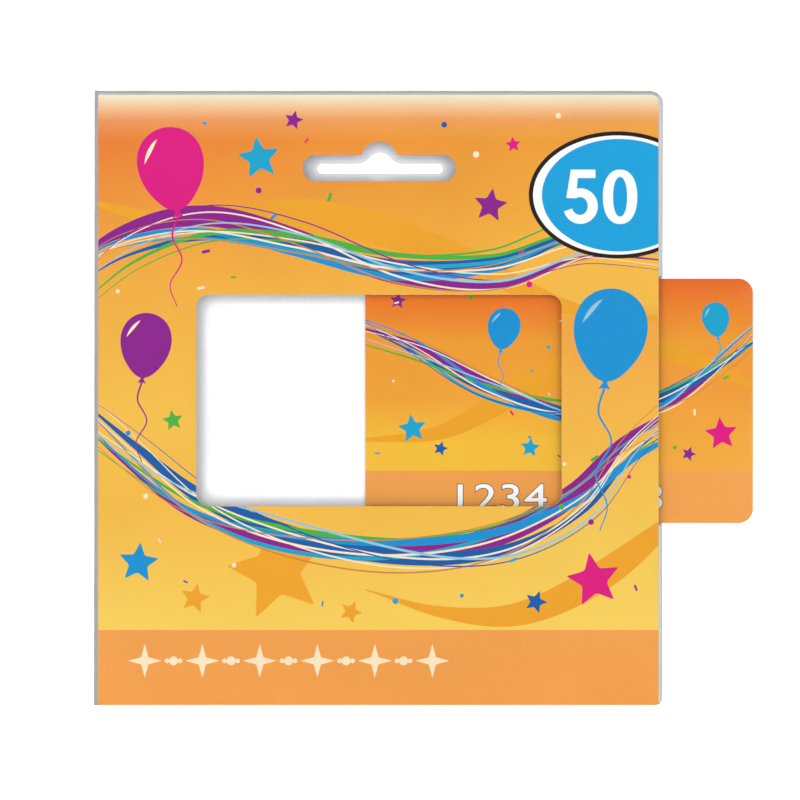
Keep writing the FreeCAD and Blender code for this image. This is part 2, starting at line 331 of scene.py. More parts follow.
def mosaic(region, shapes, grid=None):
    """Triangles of the region (first loop outside, the rest holes), cut along
    every shape's outline. Returns points, triangles and each one's ink."""
    verts, edges = [], []

    def add(loop):
        s = len(verts)
        verts.extend(Vector(p) for p in loop)
        edges.extend((s + i, s + (i + 1) % len(loop)) for i in range(len(loop)))

    outer = np.array(region[0])
    lo, hi = outer.min(axis=0) - 0.5, outer.max(axis=0) + 0.5
    for loop in region:
        add(loop)
    for sh in shapes:
        for loop in sh["loops"]:
            q = np.array(loop)
            if (q.max(axis=0) < lo).any() or (q.min(axis=0) > hi).any():
                continue
            add(loop)
    if grid:
        x = lo[0] + grid * 0.5
        while x < hi[0]:
            z = lo[1] + grid * 0.5
            while z < hi[1]:
                verts.append(Vector((x, z)))
                z += grid
            x += grid
    v, _e, f, *_ = delaunay_2d_cdt(verts, edges, [], 0, 1e-5, False)
    pts = np.array([(p.x, p.y) for p in v])
    tri = np.array([t for t in f if len(t) == 3])
    a, b, c = pts[tri[:, 0]], pts[tri[:, 1]], pts[tri[:, 2]]
    ar = (b[:, 0] - a[:, 0]) * (c[:, 1] - a[:, 1]) - (c[:, 0] - a[:, 0]) * (b[:, 1] - a[:, 1])
    tri[ar < 0] = tri[ar < 0][:, ::-1]
    cen = (a + b + c) / 3
    keep = inside(cen[:, 0], cen[:, 1], region, False) & (np.abs(ar) > 1e-9)
    tri, cen = tri[keep], cen[keep]
    ink = np.zeros(len(tri), int)
    for sh in shapes:
        q = np.vstack([np.array(loop) for loop in sh["loops"]])
        s0, s1 = q.min(axis=0), q.max(axis=0)
        near = np.nonzero((cen[:, 0] > s0[0]) & (cen[:, 0] < s1[0])
                          & (cen[:, 1] > s0[1]) & (cen[:, 1] < s1[1]))[0]
        if len(near):
            hit = inside(cen[near, 0], cen[near, 1], sh["loops"], sh.get("nonzero", True))
            ink[near[hit]] = sh["ink"]
    return pts, tri, ink


def make(name, bm, mats, sharp=None):
    me = bpy.data.meshes.new(name)
    bm.to_mesh(me)
    bm.free()
    for m in mats:
        me.materials.append(m)
    if sharp:
        me.set_sharp_from_angle(angle=math.radians(sharp))
    ob = bpy.data.objects.new(name, me)
    bpy.context.scene.collection.objects.link(ob)
    return ob


def slab(name, region, shapes, y0, y1, edge, mats, core, back, back_shapes=(), back_ink=None,
         rim=None, grid=None, lift=None, back_lift=None):
    """A closed flat piece between y0 (printed) and y1, with rounded cut edges.
    core, back and rim are material indices for the cut edge, the far face and
    the roll of the printed edge."""
    small = [offset(region[0], -edge)] + [offset(h, edge) for h in region[1:]]
    pts, tri, ink = mosaic(small, list(shapes), grid)
    used = sorted(set(tri.ravel()))
    bm = bmesh.new()
    lifted = lift(pts) if lift else np.zeros(len(pts))
    front = {i: bm.verts.new((pts[i, 0] * MM, (y0 + lifted[i]) * MM, pts[i, 1] * MM)) for i in used}
    count = {}
    for t, k in zip(tri, ink):
        f = bm.faces.new([front[i] for i in t])
        f.material_index = int(k)
        for i in range(3):
            e = (t[i], t[(i + 1) % 3])
            count[e] = f
    rimmed = [e for e in count if (e[1], e[0]) not in count]
    nor = {}
    for a, b in rimmed:
        d = pts[b] - pts[a]
        n = np.array([d[1], -d[0]]) / (np.linalg.norm(d) + 1e-12)
        nor.setdefault(a, []).append(n)
        nor.setdefault(b, []).append(n)
    out = {}
    for i, ns in nor.items():
        m = np.sum(ns, axis=0)
        k = m @ m
        out[i] = m * (len(ns) / k) if k > 0.6 else m / (math.sqrt(k) + 1e-9)
    depth = y1 - y0
    rings = [(edge * math.sin(math.radians(a)), edge * (1 - math.cos(math.radians(a)))) for a in (30, 60, 90)]
    rings += [(edge, depth - edge), (edge * 0.87, depth - edge * 0.5), (edge * 0.5, depth - edge * 0.13),
              (0.0, depth)]
    last = front
    for n, (o, y) in enumerate(rings):
        ring = {i: bm.verts.new(((pts[i, 0] + out[i][0] * o) * MM, (y0 + y) * MM,
                                 (pts[i, 1] + out[i][1] * o) * MM)) for i in out}
        for a, b in rimmed:
            f = bm.faces.new([last[b], last[a], ring[a], ring[b]])
            f.smooth = True
            if n < 2 and rim is not None:
                f.material_index = rim if rim >= 0 else count[(a, b)].material_index
            else:
                f.material_index = core
        last = ring
    # far face
    if back_shapes:
        loops = small
        p2, t2, k2 = mosaic(loops, list(back_shapes), grid)
        key = {(round(pts[i, 0], 4), round(pts[i, 1], 4)): last[i] for i in out}
        raised = back_lift(p2) if back_lift else np.zeros(len(p2))
        made = {}
        for i in sorted(set(t2.ravel())):
            q = (round(p2[i, 0], 4), round(p2[i, 1], 4))
            made[i] = key.get(q) or bm.verts.new((p2[i, 0] * MM, (y1 + raised[i]) * MM, p2[i, 1] * MM))
        for t, k in zip(t2, k2):
            f = bm.faces.new([made[i] for i in t[::-1]])
            f.material_index = back_ink[int(k)] if back_ink else back
            f.smooth = back_lift is not None
    else:
        ends = [bm.edges.get((last[a], last[b])) for a, b in rimmed]
        geom = bmesh.ops.triangle_fill(bm, use_beauty=True, use_dissolve=False, edges=ends,
                                       normal=(0, 1, 0))
        for g in geom["geom"]:
            if isinstance(g, bmesh.types.BMFace):
                g.material_index = back
                if g.normal.y < 0:
                    g.normal_flip()
    bmesh.ops.remove_doubles(bm, verts=bm.verts, dist=1e-7)
    bm.normal_update()
    bmesh.ops.recalc_face_normals(bm, faces=bm.faces)
    return make(name, bm, mats, sharp=40)


def sweep(name, path, profile, mats, wobble=0.0, seed=1):
    """A wall along a path of (x, z, inward x, inward z, t). profile(t) gives a
    closed list of (inward distance, y, material) for the section there."""
    bm = bmesh.new()
    rnd = random.Random(seed)
    ph = [rnd.uniform(0, 6.28) for _ in range(6)]
    rows, mat = [], None
    run = 0.0
    for n, (x, z, nx, nz, t) in enumerate(path):
        if n:
            run += math.hypot(x - path[n - 1][0], z - path[n - 1][1])
        sec = profile(t)
        mat = [s[2] for s in sec]
        w = wobble * (math.sin(run * 0.31 + ph[0]) + 0.6 * math.sin(run * 0.83 + ph[1])
                      + 0.4 * math.sin(run * 1.9 + ph[2]))
        rows.append([bm.verts.new(((x + nx * (u + w * s)) * MM, y * MM, (z + nz * (u + w * s)) * MM))
                     for u, y, _m, s in sec])
    k = len(rows[0])
    for a, b in zip(rows, rows[1:]):
        for i in range(k):
            j = (i + 1) % k
            f = bm.faces.new([a[i], a[j], b[j], b[i]])
            f.material_index = mat[i]
            f.smooth = True
    for row, flip in ((rows[0], False), (rows[-1], True)):
        f = bm.faces.new(row[::-1] if flip else row)
        f.material_index = 1
    bmesh.ops.triangulate(bm, faces=[f for f in bm.faces if len(f.verts) > 4])
    bmesh.ops.recalc_face_normals(bm, faces=bm.faces)
    return make(name, bm, mats, sharp=38)


# ------------------------------------------------------------------ materials
AMBIENT, SOFTBOX, TABLE = 0.29, 2.80, 0.74
LIGHT = (1.30, 1.265, 1.24)    # how bright a white sheet is in the studio, so that paper comes out pure white
SHEEN = 0.022      # what the varnish adds to every ink


def lin(c):
    return tuple(((v / 255) / 12.92 if v / 255 <= 0.04045 else ((v / 255 + 0.055) / 1.055) ** 2.4)
                 for v in c) + (1.0,)


def dye(c):
    """The ink that looks like colour c under the studio's light."""
    return tuple(max(0.001, (v - SHEEN) / k) for v, k in zip(lin(c), LIGHT)) + (1.0,)


class Nodes:
    def __init__(self, name):
        self.mat = bpy.data.materials.new(name)
        self.mat.use_nodes = True
        self.t = self.mat.node_tree
        self.shader = next(n for n in self.t.nodes if n.type == "BSDF_PRINCIPLED")
        self.coord = self.t.nodes.new("ShaderNodeTexCoord")

    def add(self, kind, **values):
        n = self.t.nodes.new(kind)
        for k, v in values.items():
            if k.startswith("in_"):
                key = k[3:]
                n.inputs[int(key) if key.isdigit() else key.replace("_", " ")].default_value = v
            else:
                setattr(n, k, v)
        return n

    def link(self, a, b):
        self.t.links.new(a, b)

    def noise(self, scale, detail=2.0, rough=0.5, stretch=None, seed=0.0):
        vec = self.coord.outputs["Object"]
        m = self.add("ShaderNodeMapping")
        m.inputs["Location"].default_value = (seed, seed * 0.7, seed * 1.3)
        if stretch:
            m.inputs["Scale"].default_value = stretch
        self.link(vec, m.inputs["Vector"])
        n = self.add("ShaderNodeTexNoise", in_Scale=scale, in_Detail=detail, in_Roughness=rough)
        self.link(m.outputs["Vector"], n.inputs["Vector"])
        return n.outputs["Fac"]

    def remap(self, value, a, b, c, d):
        n = self.add("ShaderNodeMapRange")
        n.inputs["From Min"].default_value = a
        n.inputs["From Max"].default_value = b
        n.inputs["To Min"].default_value = c
        n.inputs["To Max"].default_value = d
        self.link(value, n.inputs["Value"])
        return n.outputs["Result"]

    def math(self, op, a, b=None, c=None):
        n = self.add("ShaderNodeMath", operation=op)
        for i, v in enumerate((a, b, c)):
            if v is None:
                continue
            if isinstance(v, (int, float)):
                n.inputs[i].default_value = v
            else:
                self.link(v, n.inputs[i])
        return n.outputs[0]

    def length2(self, a, b):
        return self.math("SQRT", self.math("ADD", self.math("MULTIPLY", a, a), self.math("MULTIPLY", b, b)))

    def mix(self, fac, a, b, mode="MIX"):
        n = self.add("ShaderNodeMix", data_type="RGBA", blend_type=mode)
        for i, v in ((0, fac), (6, a), (7, b)):
            if isinstance(v, (int, float, tuple)):
                n.inputs[i].default_value = v
            else:
                self.link(v, n.inputs[i])
        return n.outputs[2]

    def bump(self, height, strength, distance):
        n = self.add("ShaderNodeBump")
        n.inputs["Strength"].default_value = strength
        n.inputs["Distance"].default_value = distance
        self.link(height, n.inputs["Height"])
        self.link(n.outputs["Normal"], self.shader.inputs["Normal"])
        return n

    def done(self, color, rough, spec=0.3, **const):
        s = self.shader.inputs
        if isinstance(color, tuple):
            s["Base Color"].default_value = color
        else:
            self.link(color, s["Base Color"])
        if isinstance(rough, (int, float)):
            s["Roughness"].default_value = rough
        else:
            self.link(rough, s["Roughness"])
        s["Specular IOR Level"].default_value = spec
        for k, v in const.items():
            s[k.replace("_", " ")].default_value = v
        return self.mat


def ramp_z(n, z0, z1, stops):
    """A colour that changes up the piece, between heights z0 and z1 in mm."""
    sep = n.add("ShaderNodeSeparateXYZ")
    n.link(n.coord.outputs["Object"], sep.inputs[0])
    v = n.remap(sep.outputs["Z"], z0 * MM, z1 * MM, 0.0, 1.0)
    r = n.add("ShaderNodeValToRGB")
    cr = r.color_ramp
    cr.interpolation = "LINEAR"
    cr.elements[0].position = (stops[0][0] - z0) / (z1 - z0)
    cr.elements[0].color = dye(stops[0][1])
    cr.elements[1].position = (stops[-1][0] - z0) / (z1 - z0)
    cr.elements[1].color = dye(stops[-1][1])
    for z, c in stops[1:-1]:
        e = cr.elements.new((z - z0) / (z1 - z0))
        e.color = dye(c)
    n.link(v, r.inputs["Fac"])
    return r.outputs["Color"]


def ink_on(kind, name, color=None, stops=None, seed=0.0, glow=None, aside=None):
    """Printed ink, on varnished board or under the card's laminate. With a
    glow, the upper part turns to that colour towards the right. With a ramp
    aside, the right end goes over to that ramp: from where to where, and up
    to which heights, in mm, comes with it."""
    n = Nodes(name)
    if stops:
        base = ramp_z(n, 0.0, 136.0, stops)
        if glow:
            sep = n.add("ShaderNodeSeparateXYZ")
            n.link(n.coord.outputs["Object"], sep.inputs[0])
            right = n.remap(sep.outputs["X"], -0.058, 0.060, 0.0, 0.55)
            high = n.math("MULTIPLY", n.remap(sep.outputs["Z"], 0.084, 0.104, 0.0, 1.0),
                          n.remap(sep.outputs["Z"], 0.126, 0.132, 1.0, 0.0))
            base = n.mix(n.math("MULTIPLY", right, high), base, dye(glow))
        if aside:
            right_stops, across, below = aside
            sep = n.add("ShaderNodeSeparateXYZ")
            n.link(n.coord.outputs["Object"], sep.inputs[0])
            fac = n.math("MULTIPLY", n.remap(sep.outputs["X"], across[0] * MM, across[1] * MM, 0.0, 1.0),
                         n.remap(sep.outputs["Z"], below[0] * MM, below[1] * MM, 1.0, 0.0))
            base = n.mix(fac, base, ramp_z(n, 0.0, 136.0, right_stops))
    else:
        base = n.mix(1.0, dye(color), (1, 1, 1, 1), "MULTIPLY")
    # ink density drifts a little over the sheet, and fine fibres break it up
    drift = n.remap(n.noise(38.0, 2.0, 0.5, seed=seed), 0.3, 0.7, 0.965, 1.02)
    fibre = n.remap(n.noise(2600.0, 3.0, 0.65, stretch=(1.0, 1.0, 0.55), seed=seed + 3), 0.3, 0.7,
                    0.975 if kind == "board" else 0.99, 1.02 if kind == "board" else 1.006)
    both = n.math("MULTIPLY", drift, fibre)
    comb = n.add("ShaderNodeCombineColor")
    for i in range(3):
        n.link(both, comb.inputs[i])
    col = n.mix(1.0, base, comb.outputs[0], "MULTIPLY")
    if kind == "board":
        rough = n.remap(n.noise(420.0, 3.0, 0.6, seed=seed + 1), 0.3, 0.7, 0.36, 0.50)
        grain = n.noise(1500.0, 4.0, 0.6, stretch=(1.0, 1.0, 0.6), seed=seed + 2)
        sheet = n.noise(60.0, 1.0, 0.4, seed=seed + 5)
        h = n.math("ADD", n.math("MULTIPLY", grain, 0.10), n.math("MULTIPLY", sheet, 0.9))
        n.bump(h, 0.30, 0.00012)
        return n.done(col, rough, 0.18)
    rough = n.remap(n.noise(300.0, 2.0, 0.5, seed=seed + 1), 0.3, 0.7, 0.17, 0.27)
    scuff = n.noise(900.0, 2.0, 0.5, stretch=(0.25, 1.0, 2.5), seed=seed + 4)
    n.bump(scuff, 0.12, 0.00003)
    return n.done(col, rough, 0.20)


def board(name, tone, warm=(1.0, 1.0, 1.0), ply=False, rough=0.62, fleck=0.93, gloss=0.25, painted_light_and_shade=None):
    """Uncoated board: short pale and dark fibres, faint cloudiness."""
    n = Nodes(name)
    cloud = n.remap(n.noise(90.0, 3.0, 0.55), 0.3, 0.7, 0.985, 1.010)
    fibre = n.remap(n.noise(1900.0, 3.0, 0.7, stretch=(1.0, 1.0, 0.35), seed=2.0), 0.3, 0.7, 0.96, 1.025)
    specks = n.remap(n.noise(700.0, 1.0, 0.4, stretch=(0.4, 1.0, 1.6), seed=5.0), 0.66, 0.74, 1.0, fleck)
    v = n.math("MULTIPLY", n.math("MULTIPLY", cloud, fibre), specks)
    if ply:
        w = n.add("ShaderNodeTexWave", wave_type="BANDS", bands_direction="Y")
        w.inputs["Scale"].default_value = 950.0
        w.inputs["Distortion"].default_value = 0.6
        w.inputs["Detail"].default_value = 2.0
        n.link(n.coord.outputs["Object"], w.inputs["Vector"])
        v = n.math("MULTIPLY", v, n.remap(w.outputs["Fac"], 0.0, 1.0, 0.93, 1.02))
    # optional painted light and shade laid over the board's colour
    if painted_light_and_shade:
        v = n.math("MULTIPLY", v, painted_light_and_shade(n))
    comb = n.add("ShaderNodeCombineColor")
    for i, k in enumerate(warm):
        n.link(n.math("MULTIPLY", v, k), comb.inputs[i])
    col = n.mix(1.0, lin(tone), comb.outputs[0], "MULTIPLY")
    r = n.remap(n.noise(500.0, 2.0, 0.5, seed=9.0), 0.3, 0.7, rough - 0.07, rough + 0.08)
    h = n.math("ADD", n.math("MULTIPLY", n.noise(1300.0, 4.0, 0.65, stretch=(1, 1, 0.4), seed=3.0), 0.25),
               n.math("MULTIPLY", n.noise(70.0, 1.0, 0.4, seed=4.0), 0.75))
    n.bump(h, 0.35, 0.00012)
    return n.done(col, r, gloss)


def painted_rim_light_and_shade(n):
    """Painted light and shade on the board's inner face. Painted shade from just inside the window's outline outwards,
    where the front panel covers it, and round the hang slot but for the very edge of its hole. Painted light at that
    edge and in a band just above the window's lower edge."""
    sep = n.add("ShaderNodeSeparateXYZ")
    n.link(n.coord.outputs["Object"], sep.inputs[0])
    x0, x1, z0, z1, r = (v * MM for v in WIN)
    legs = []
    for axis, a, b in (("X", x0, x1), ("Z", z0, z1)):
        size = n.math("ABSOLUTE", n.math("SUBTRACT", sep.outputs[axis], (a + b) / 2))
        legs.append(n.math("MAXIMUM", n.math("SUBTRACT", size, (b - a) / 2 - 1.8 * r), 0.0))
    # painted shade: down to 0.84 from between 2.4 and 1.2 mm inside the window's outline outwards
    rim = n.remap(n.length2(*legs), 1.8 * r - 0.0024, 1.8 * r - 0.0012, 1.0, 0.84)
    # painted light: up to 1.09 in a band from 0.6 to 12 mm above the window's lower edge
    low = n.math("MINIMUM", n.remap(sep.outputs["Z"], z0 + 0.0006, z0 + 0.0018, 1.0, 1.09),
                 n.remap(sep.outputs["Z"], z0 + 0.0018, z0 + 0.0120, 1.09, 1.0))
    # painted shade round the hang slot (0.87) with painted light (1.05) at the very edge of its hole, above about 102
    # to 112 mm
    along = n.math("SUBTRACT", sep.outputs["X"], 0.00025)
    arm = n.math("MAXIMUM", n.math("SUBTRACT", n.math("ABSOLUTE", along), 0.01275), 0.0)
    bar = n.math("SUBTRACT", n.length2(arm, n.math("SUBTRACT", sep.outputs["Z"], 0.11842)), 0.0012)
    bump = n.math("SUBTRACT", n.length2(along, n.math("SUBTRACT", sep.outputs["Z"], 0.11908)), 0.0030)
    edge = n.remap(n.math("SMOOTH_MIN", bar, bump, 0.0012), 0.0, 0.0010, 0.18, 0.0)
    slot = n.math("SUBTRACT", edge, 0.13)
    high = n.remap(sep.outputs["Z"], 0.102, 0.112, 0.0, 1.0)
    return n.math("MULTIPLY", n.math("MULTIPLY", rim, low), n.math("ADD", n.math("MULTIPLY", slot, high), 1.0))


def fold_board(name, crease, side):
    """Board of the folded walls: painted shade, a darker grey along the creases at the front and back."""
    n = Nodes(name)
    sep = n.add("ShaderNodeSeparateXYZ")
    n.link(n.coord.outputs["Object"], sep.inputs[0])
    drift = n.remap(n.noise(140.0, 3.0, 0.6, seed=6.0), 0.3, 0.7, -0.00010, 0.00010)
    y = n.math("ADD", sep.outputs["Y"], drift)
    # painted shade: the crease colour towards the front and back creases, the side colour between
    front = n.remap(y, -0.00130, -0.00085, 1.0, 0.0)
    back = n.remap(y, 0.00085, 0.00120, 0.0, 1.0)
    at = n.math("MAXIMUM", front, back)
    cloud = n.remap(n.noise(120.0, 3.0, 0.55), 0.3, 0.7, 0.97, 1.02)
    fibre = n.remap(n.noise(1900.0, 3.0, 0.7, stretch=(0.6, 1.0, 0.6), seed=2.0), 0.3, 0.7, 0.93, 1.05)
    v = n.math("MULTIPLY", cloud, fibre)
    comb = n.add("ShaderNodeCombineColor")
    for i in range(3):
        n.link(v, comb.inputs[i])
    col = n.mix(1.0, n.mix(at, lin(side), lin(crease)), comb.outputs[0], "MULTIPLY")
    n.bump(n.math("ADD", n.math("MULTIPLY", n.noise(1300.0, 4.0, 0.65, seed=3.0), 0.3),
                  n.math("MULTIPLY", n.noise(90.0, 1.0, 0.4, seed=4.0), 0.7)), 0.35, 0.00010)
    return n.done(col, n.remap(n.noise(500.0, 2.0, 0.5, seed=9.0), 0.3, 0.7, 0.50, 0.62), 0.15)


def worn_rim(name, ink, core):
    """The rolled edge of the print: ink rubbed through to the board in specks."""
    n = Nodes(name)
    worn = n.remap(n.noise(1100.0, 4.0, 0.7, seed=1.5), 0.50, 0.60, 0.0, 1.0)
    long = n.remap(n.noise(90.0, 2.0, 0.5, seed=7.5), 0.40, 0.62, 0.25, 1.0)
    base = ramp_z(n, 0.0, 136.0, ink)
    col = n.mix(n.math("MULTIPLY", worn, long), base, dye(core))
    rough = n.remap(worn, 0.0, 1.0, 0.45, 0.75)
    n.bump(n.noise(1600.0, 3.0, 0.6, seed=2.2), 0.5, 0.00004)
    return n.done(col, rough, 0.25)


# the printed ground, up the carton and up the card: height in mm and colour. On the carton it pales from 124.5 mm up to
# cream at the top edge: a painted highlight along the top fold
GROUND_AND_TOP_HIGHLIGHT = [(16.0, (249, 210, 98)), (30.0, (247, 198, 88)), (44.0, (246, 188, 79)), (63.0, (246, 192, 82)),
          (92.0, (243, 176, 73)), (112.0, (240, 150, 66)), (124.5, (236, 132, 61)), (129.0, (240, 155, 97)),
          (132.0, (247, 201, 152)), (134.4, (251, 238, 208))]
GROUND_RIGHT = [(16.0, (249, 210, 99)), (22.0, (248, 207, 97)), (30.0, (247, 205, 93)), (38.0, (247, 202, 90)),
                (46.0, (247, 195, 86)), (58.0, (245, 185, 79)), (70.0, (243, 178, 78)), (79.0, (243, 171, 74)),
                (85.2, (243, 169, 75)), (88.6, (246, 187, 79)), (96.0, (246, 187, 78)), (106.0, (245, 184, 76))]
CARD_GROUND = [(40.0, (246, 194, 74)), (58.0, (246, 190, 66)), (68.0, (241, 164, 64)), (80.0, (240, 159, 61)),
               (86.0, (237, 134, 56)), (94.0, (236, 110, 49))]
CARD_GROUND_RIGHT = [(40.0, (247, 174, 73)), (58.0, (246, 172, 70)), (64.0, (244, 166, 68)), (70.0, (242, 157, 65)),
                     (76.0, (241, 158, 63)), (80.0, (241, 160, 62)), (86.0, (239, 141, 59)), (94.0, (237, 112, 54))]
INKS = {
    "band": (242, 163, 84),
    "sky": (38, 164, 219),
    "azure": (32, 148, 209),
    "deep": (6, 98, 168),
    "purple": (142, 48, 142),
    "pink": (223, 42, 131),
    "green": (84, 178, 74),
    "cyan": (44, 166, 204),
    "cream": (252, 232, 196),
    "tan": (206, 138, 74),
    "tone": (240, 166, 54),
    "pale": (150, 200, 224),
    "white": (255, 255, 253),
    "black": (52, 43, 22),
}


def ink_set(kind, ground, prefix, glow=None, aside=None):
    mats = [ink_on(kind, prefix + "ground", stops=ground, glow=glow, aside=aside)]
    index = {"ground": 0}
    for i, (k, c) in enumerate(INKS.items()):
        index[k] = len(mats)
        mats.append(ink_on(kind, prefix + k, color=c, seed=0.37 * (i + 1)))
    return mats, index


BOARD_INKS, B = ink_set("board", GROUND_AND_TOP_HIGHLIGHT, "print_", (243, 188, 67), (GROUND_RIGHT, (18.0, 43.0), (100.0, 108.0)))
CARD_INKS, C = ink_set("plastic", CARD_GROUND, "card_", aside=(CARD_GROUND_RIGHT, (42.0, 62.0), (130.0, 136.0)))
inner_white = board("inner_board", (231, 232, 236), rough=0.8, fleck=0.975, gloss=0.04)
# the back panel's inner face, with painted light and shade round the window and the hang slot
inner_face = board("inner_face", (235, 236, 239), rough=0.8, fleck=0.975, gloss=0.04, painted_light_and_shade=painted_rim_light_and_shade)
# one board; its crease grey is painted shade, darkest on the left wall, lighter on the top and lightest on the right
fold_left = fold_board("fold_board_left", (153, 153, 158), (214, 214, 219))
fold_top = fold_board("fold_board_top", (172, 173, 174), (216, 217, 219))
fold_right = fold_board("fold_board_right", (184, 187, 187), (216, 217, 219))
# the front panel's reverse, the same board as the back panel's inner face, in a dark grey: painted shade inside the
# carton
reverse = board("reverse_board", (128, 126, 122), rough=0.8, gloss=0.04)
cut_core = board("board_core", (166, 163, 156), rough=0.8, gloss=0.08)
back_board = board("back_board", (196, 197, 198))
ply_board = board("ply_board", (158, 155, 149), ply=True, rough=0.72)
guide_face = board("guide_board_face", (168, 167, 164), rough=0.7)
rim_worn = worn_rim("print_rim", GROUND_AND_TOP_HIGHLIGHT, (246, 240, 228))

for extra in (rim_worn, cut_core, reverse):
    BOARD_INKS.append(extra)
B_RIM, B_CORE, B_INNER = len(BOARD_INKS) - 3, len(BOARD_INKS) - 2, len(BOARD_INKS) - 1


# ------------------------------------------------------------------ the print
def shape(loops, ink, nonzero=True):
    if loops and isinstance(loops[0][0], (int, float)):
        loops = [loops]
    return {"loops": loops, "ink": ink, "nonzero": nonzero}


def ribbon(base, amp, freq, phase, drift, width, ink, n=16):
    """One strand of a bundle that follows base and weaves about it."""
    path = spline(base, n)
    tan = np.gradient(path, axis=0)
    tan /= np.linalg.norm(tan, axis=1)[:, None]
    nor = np.stack([-tan[:, 1], tan[:, 0]], axis=1)
    t = np.linspace(0, 1, len(path))
    off = amp * np.sin(2 * math.pi * (freq * t + phase)) + drift * (t - 0.5)
    return shape(stroke(path + nor * off[:, None], width), ink)


def with_balloon(out, cx, cz, w, h, tilt, ink, shine, sway, string_ink, line=0.36):
    """A balloon; sway lists the string's points as seen from the knot."""
    body, knot = balloon(cx, cz, w, h, tilt)
    pts = [knot] + [(knot[0] + dx, knot[1] + dz) for dx, dz in sway]
    out.append(shape(stroke(spline(pts, 14), lambda t: line * (1.0 - 0.5 * t)), string_ink))
    out.append(shape(body, ink))
    gleam = []
    for i in range(19):
        t = math.radians(112 + 56.0 * i / 18)
        gleam.append((0.80 * w / 2 * math.cos(t), 0.80 * h / 2 * math.sin(t)))
    for i in range(19):
        t = math.radians(168 - 56.0 * i / 18)
        q = 0.80 - 0.115 * math.sin(math.pi * i / 18) ** 0.8
        gleam.append((q * w / 2 * math.cos(t), q * h / 2 * math.sin(t)))
    out.append(shape(clean(placed(gleam, cx, cz, tilt)), shine))


def confetti(out, seed, count, x0, x1, z0, z1, gap, free, inks, small, big):
    """Small dots and slips, kept clear of the motifs in free."""
    rnd = random.Random(seed)
    spots, tries = [], 0
    while len(spots) < count and tries < 1500:
        tries += 1
        x, z = rnd.uniform(x0, x1), rnd.uniform(z0, z1)
        if any(math.hypot((x - a) / p, (z - b) / q) < 1 for a, b, p, q in free) or any(
                math.hypot(x - a, z - b) < gap for a, b in spots):
            continue
        spots.append((x, z))
        ink = inks[len(spots) % len(inks)]
        q = rnd.uniform(small, big)
        turn = rnd.uniform(0, 3.14)
        if rnd.random() < 0.5:
            out.append(shape(ellipse(x, z, q, q, 24), ink))
        else:
            c, d = math.cos(turn), math.sin(turn)
            out.append(shape([(x + u * c - v * d, z + u * d + v * c) for u, v in
                              ((-q * 1.4, -q * 0.5), (q * 1.4, -q * 0.5), (q * 1.4, q * 0.5), (-q * 1.4, q * 0.5))],
                             ink))


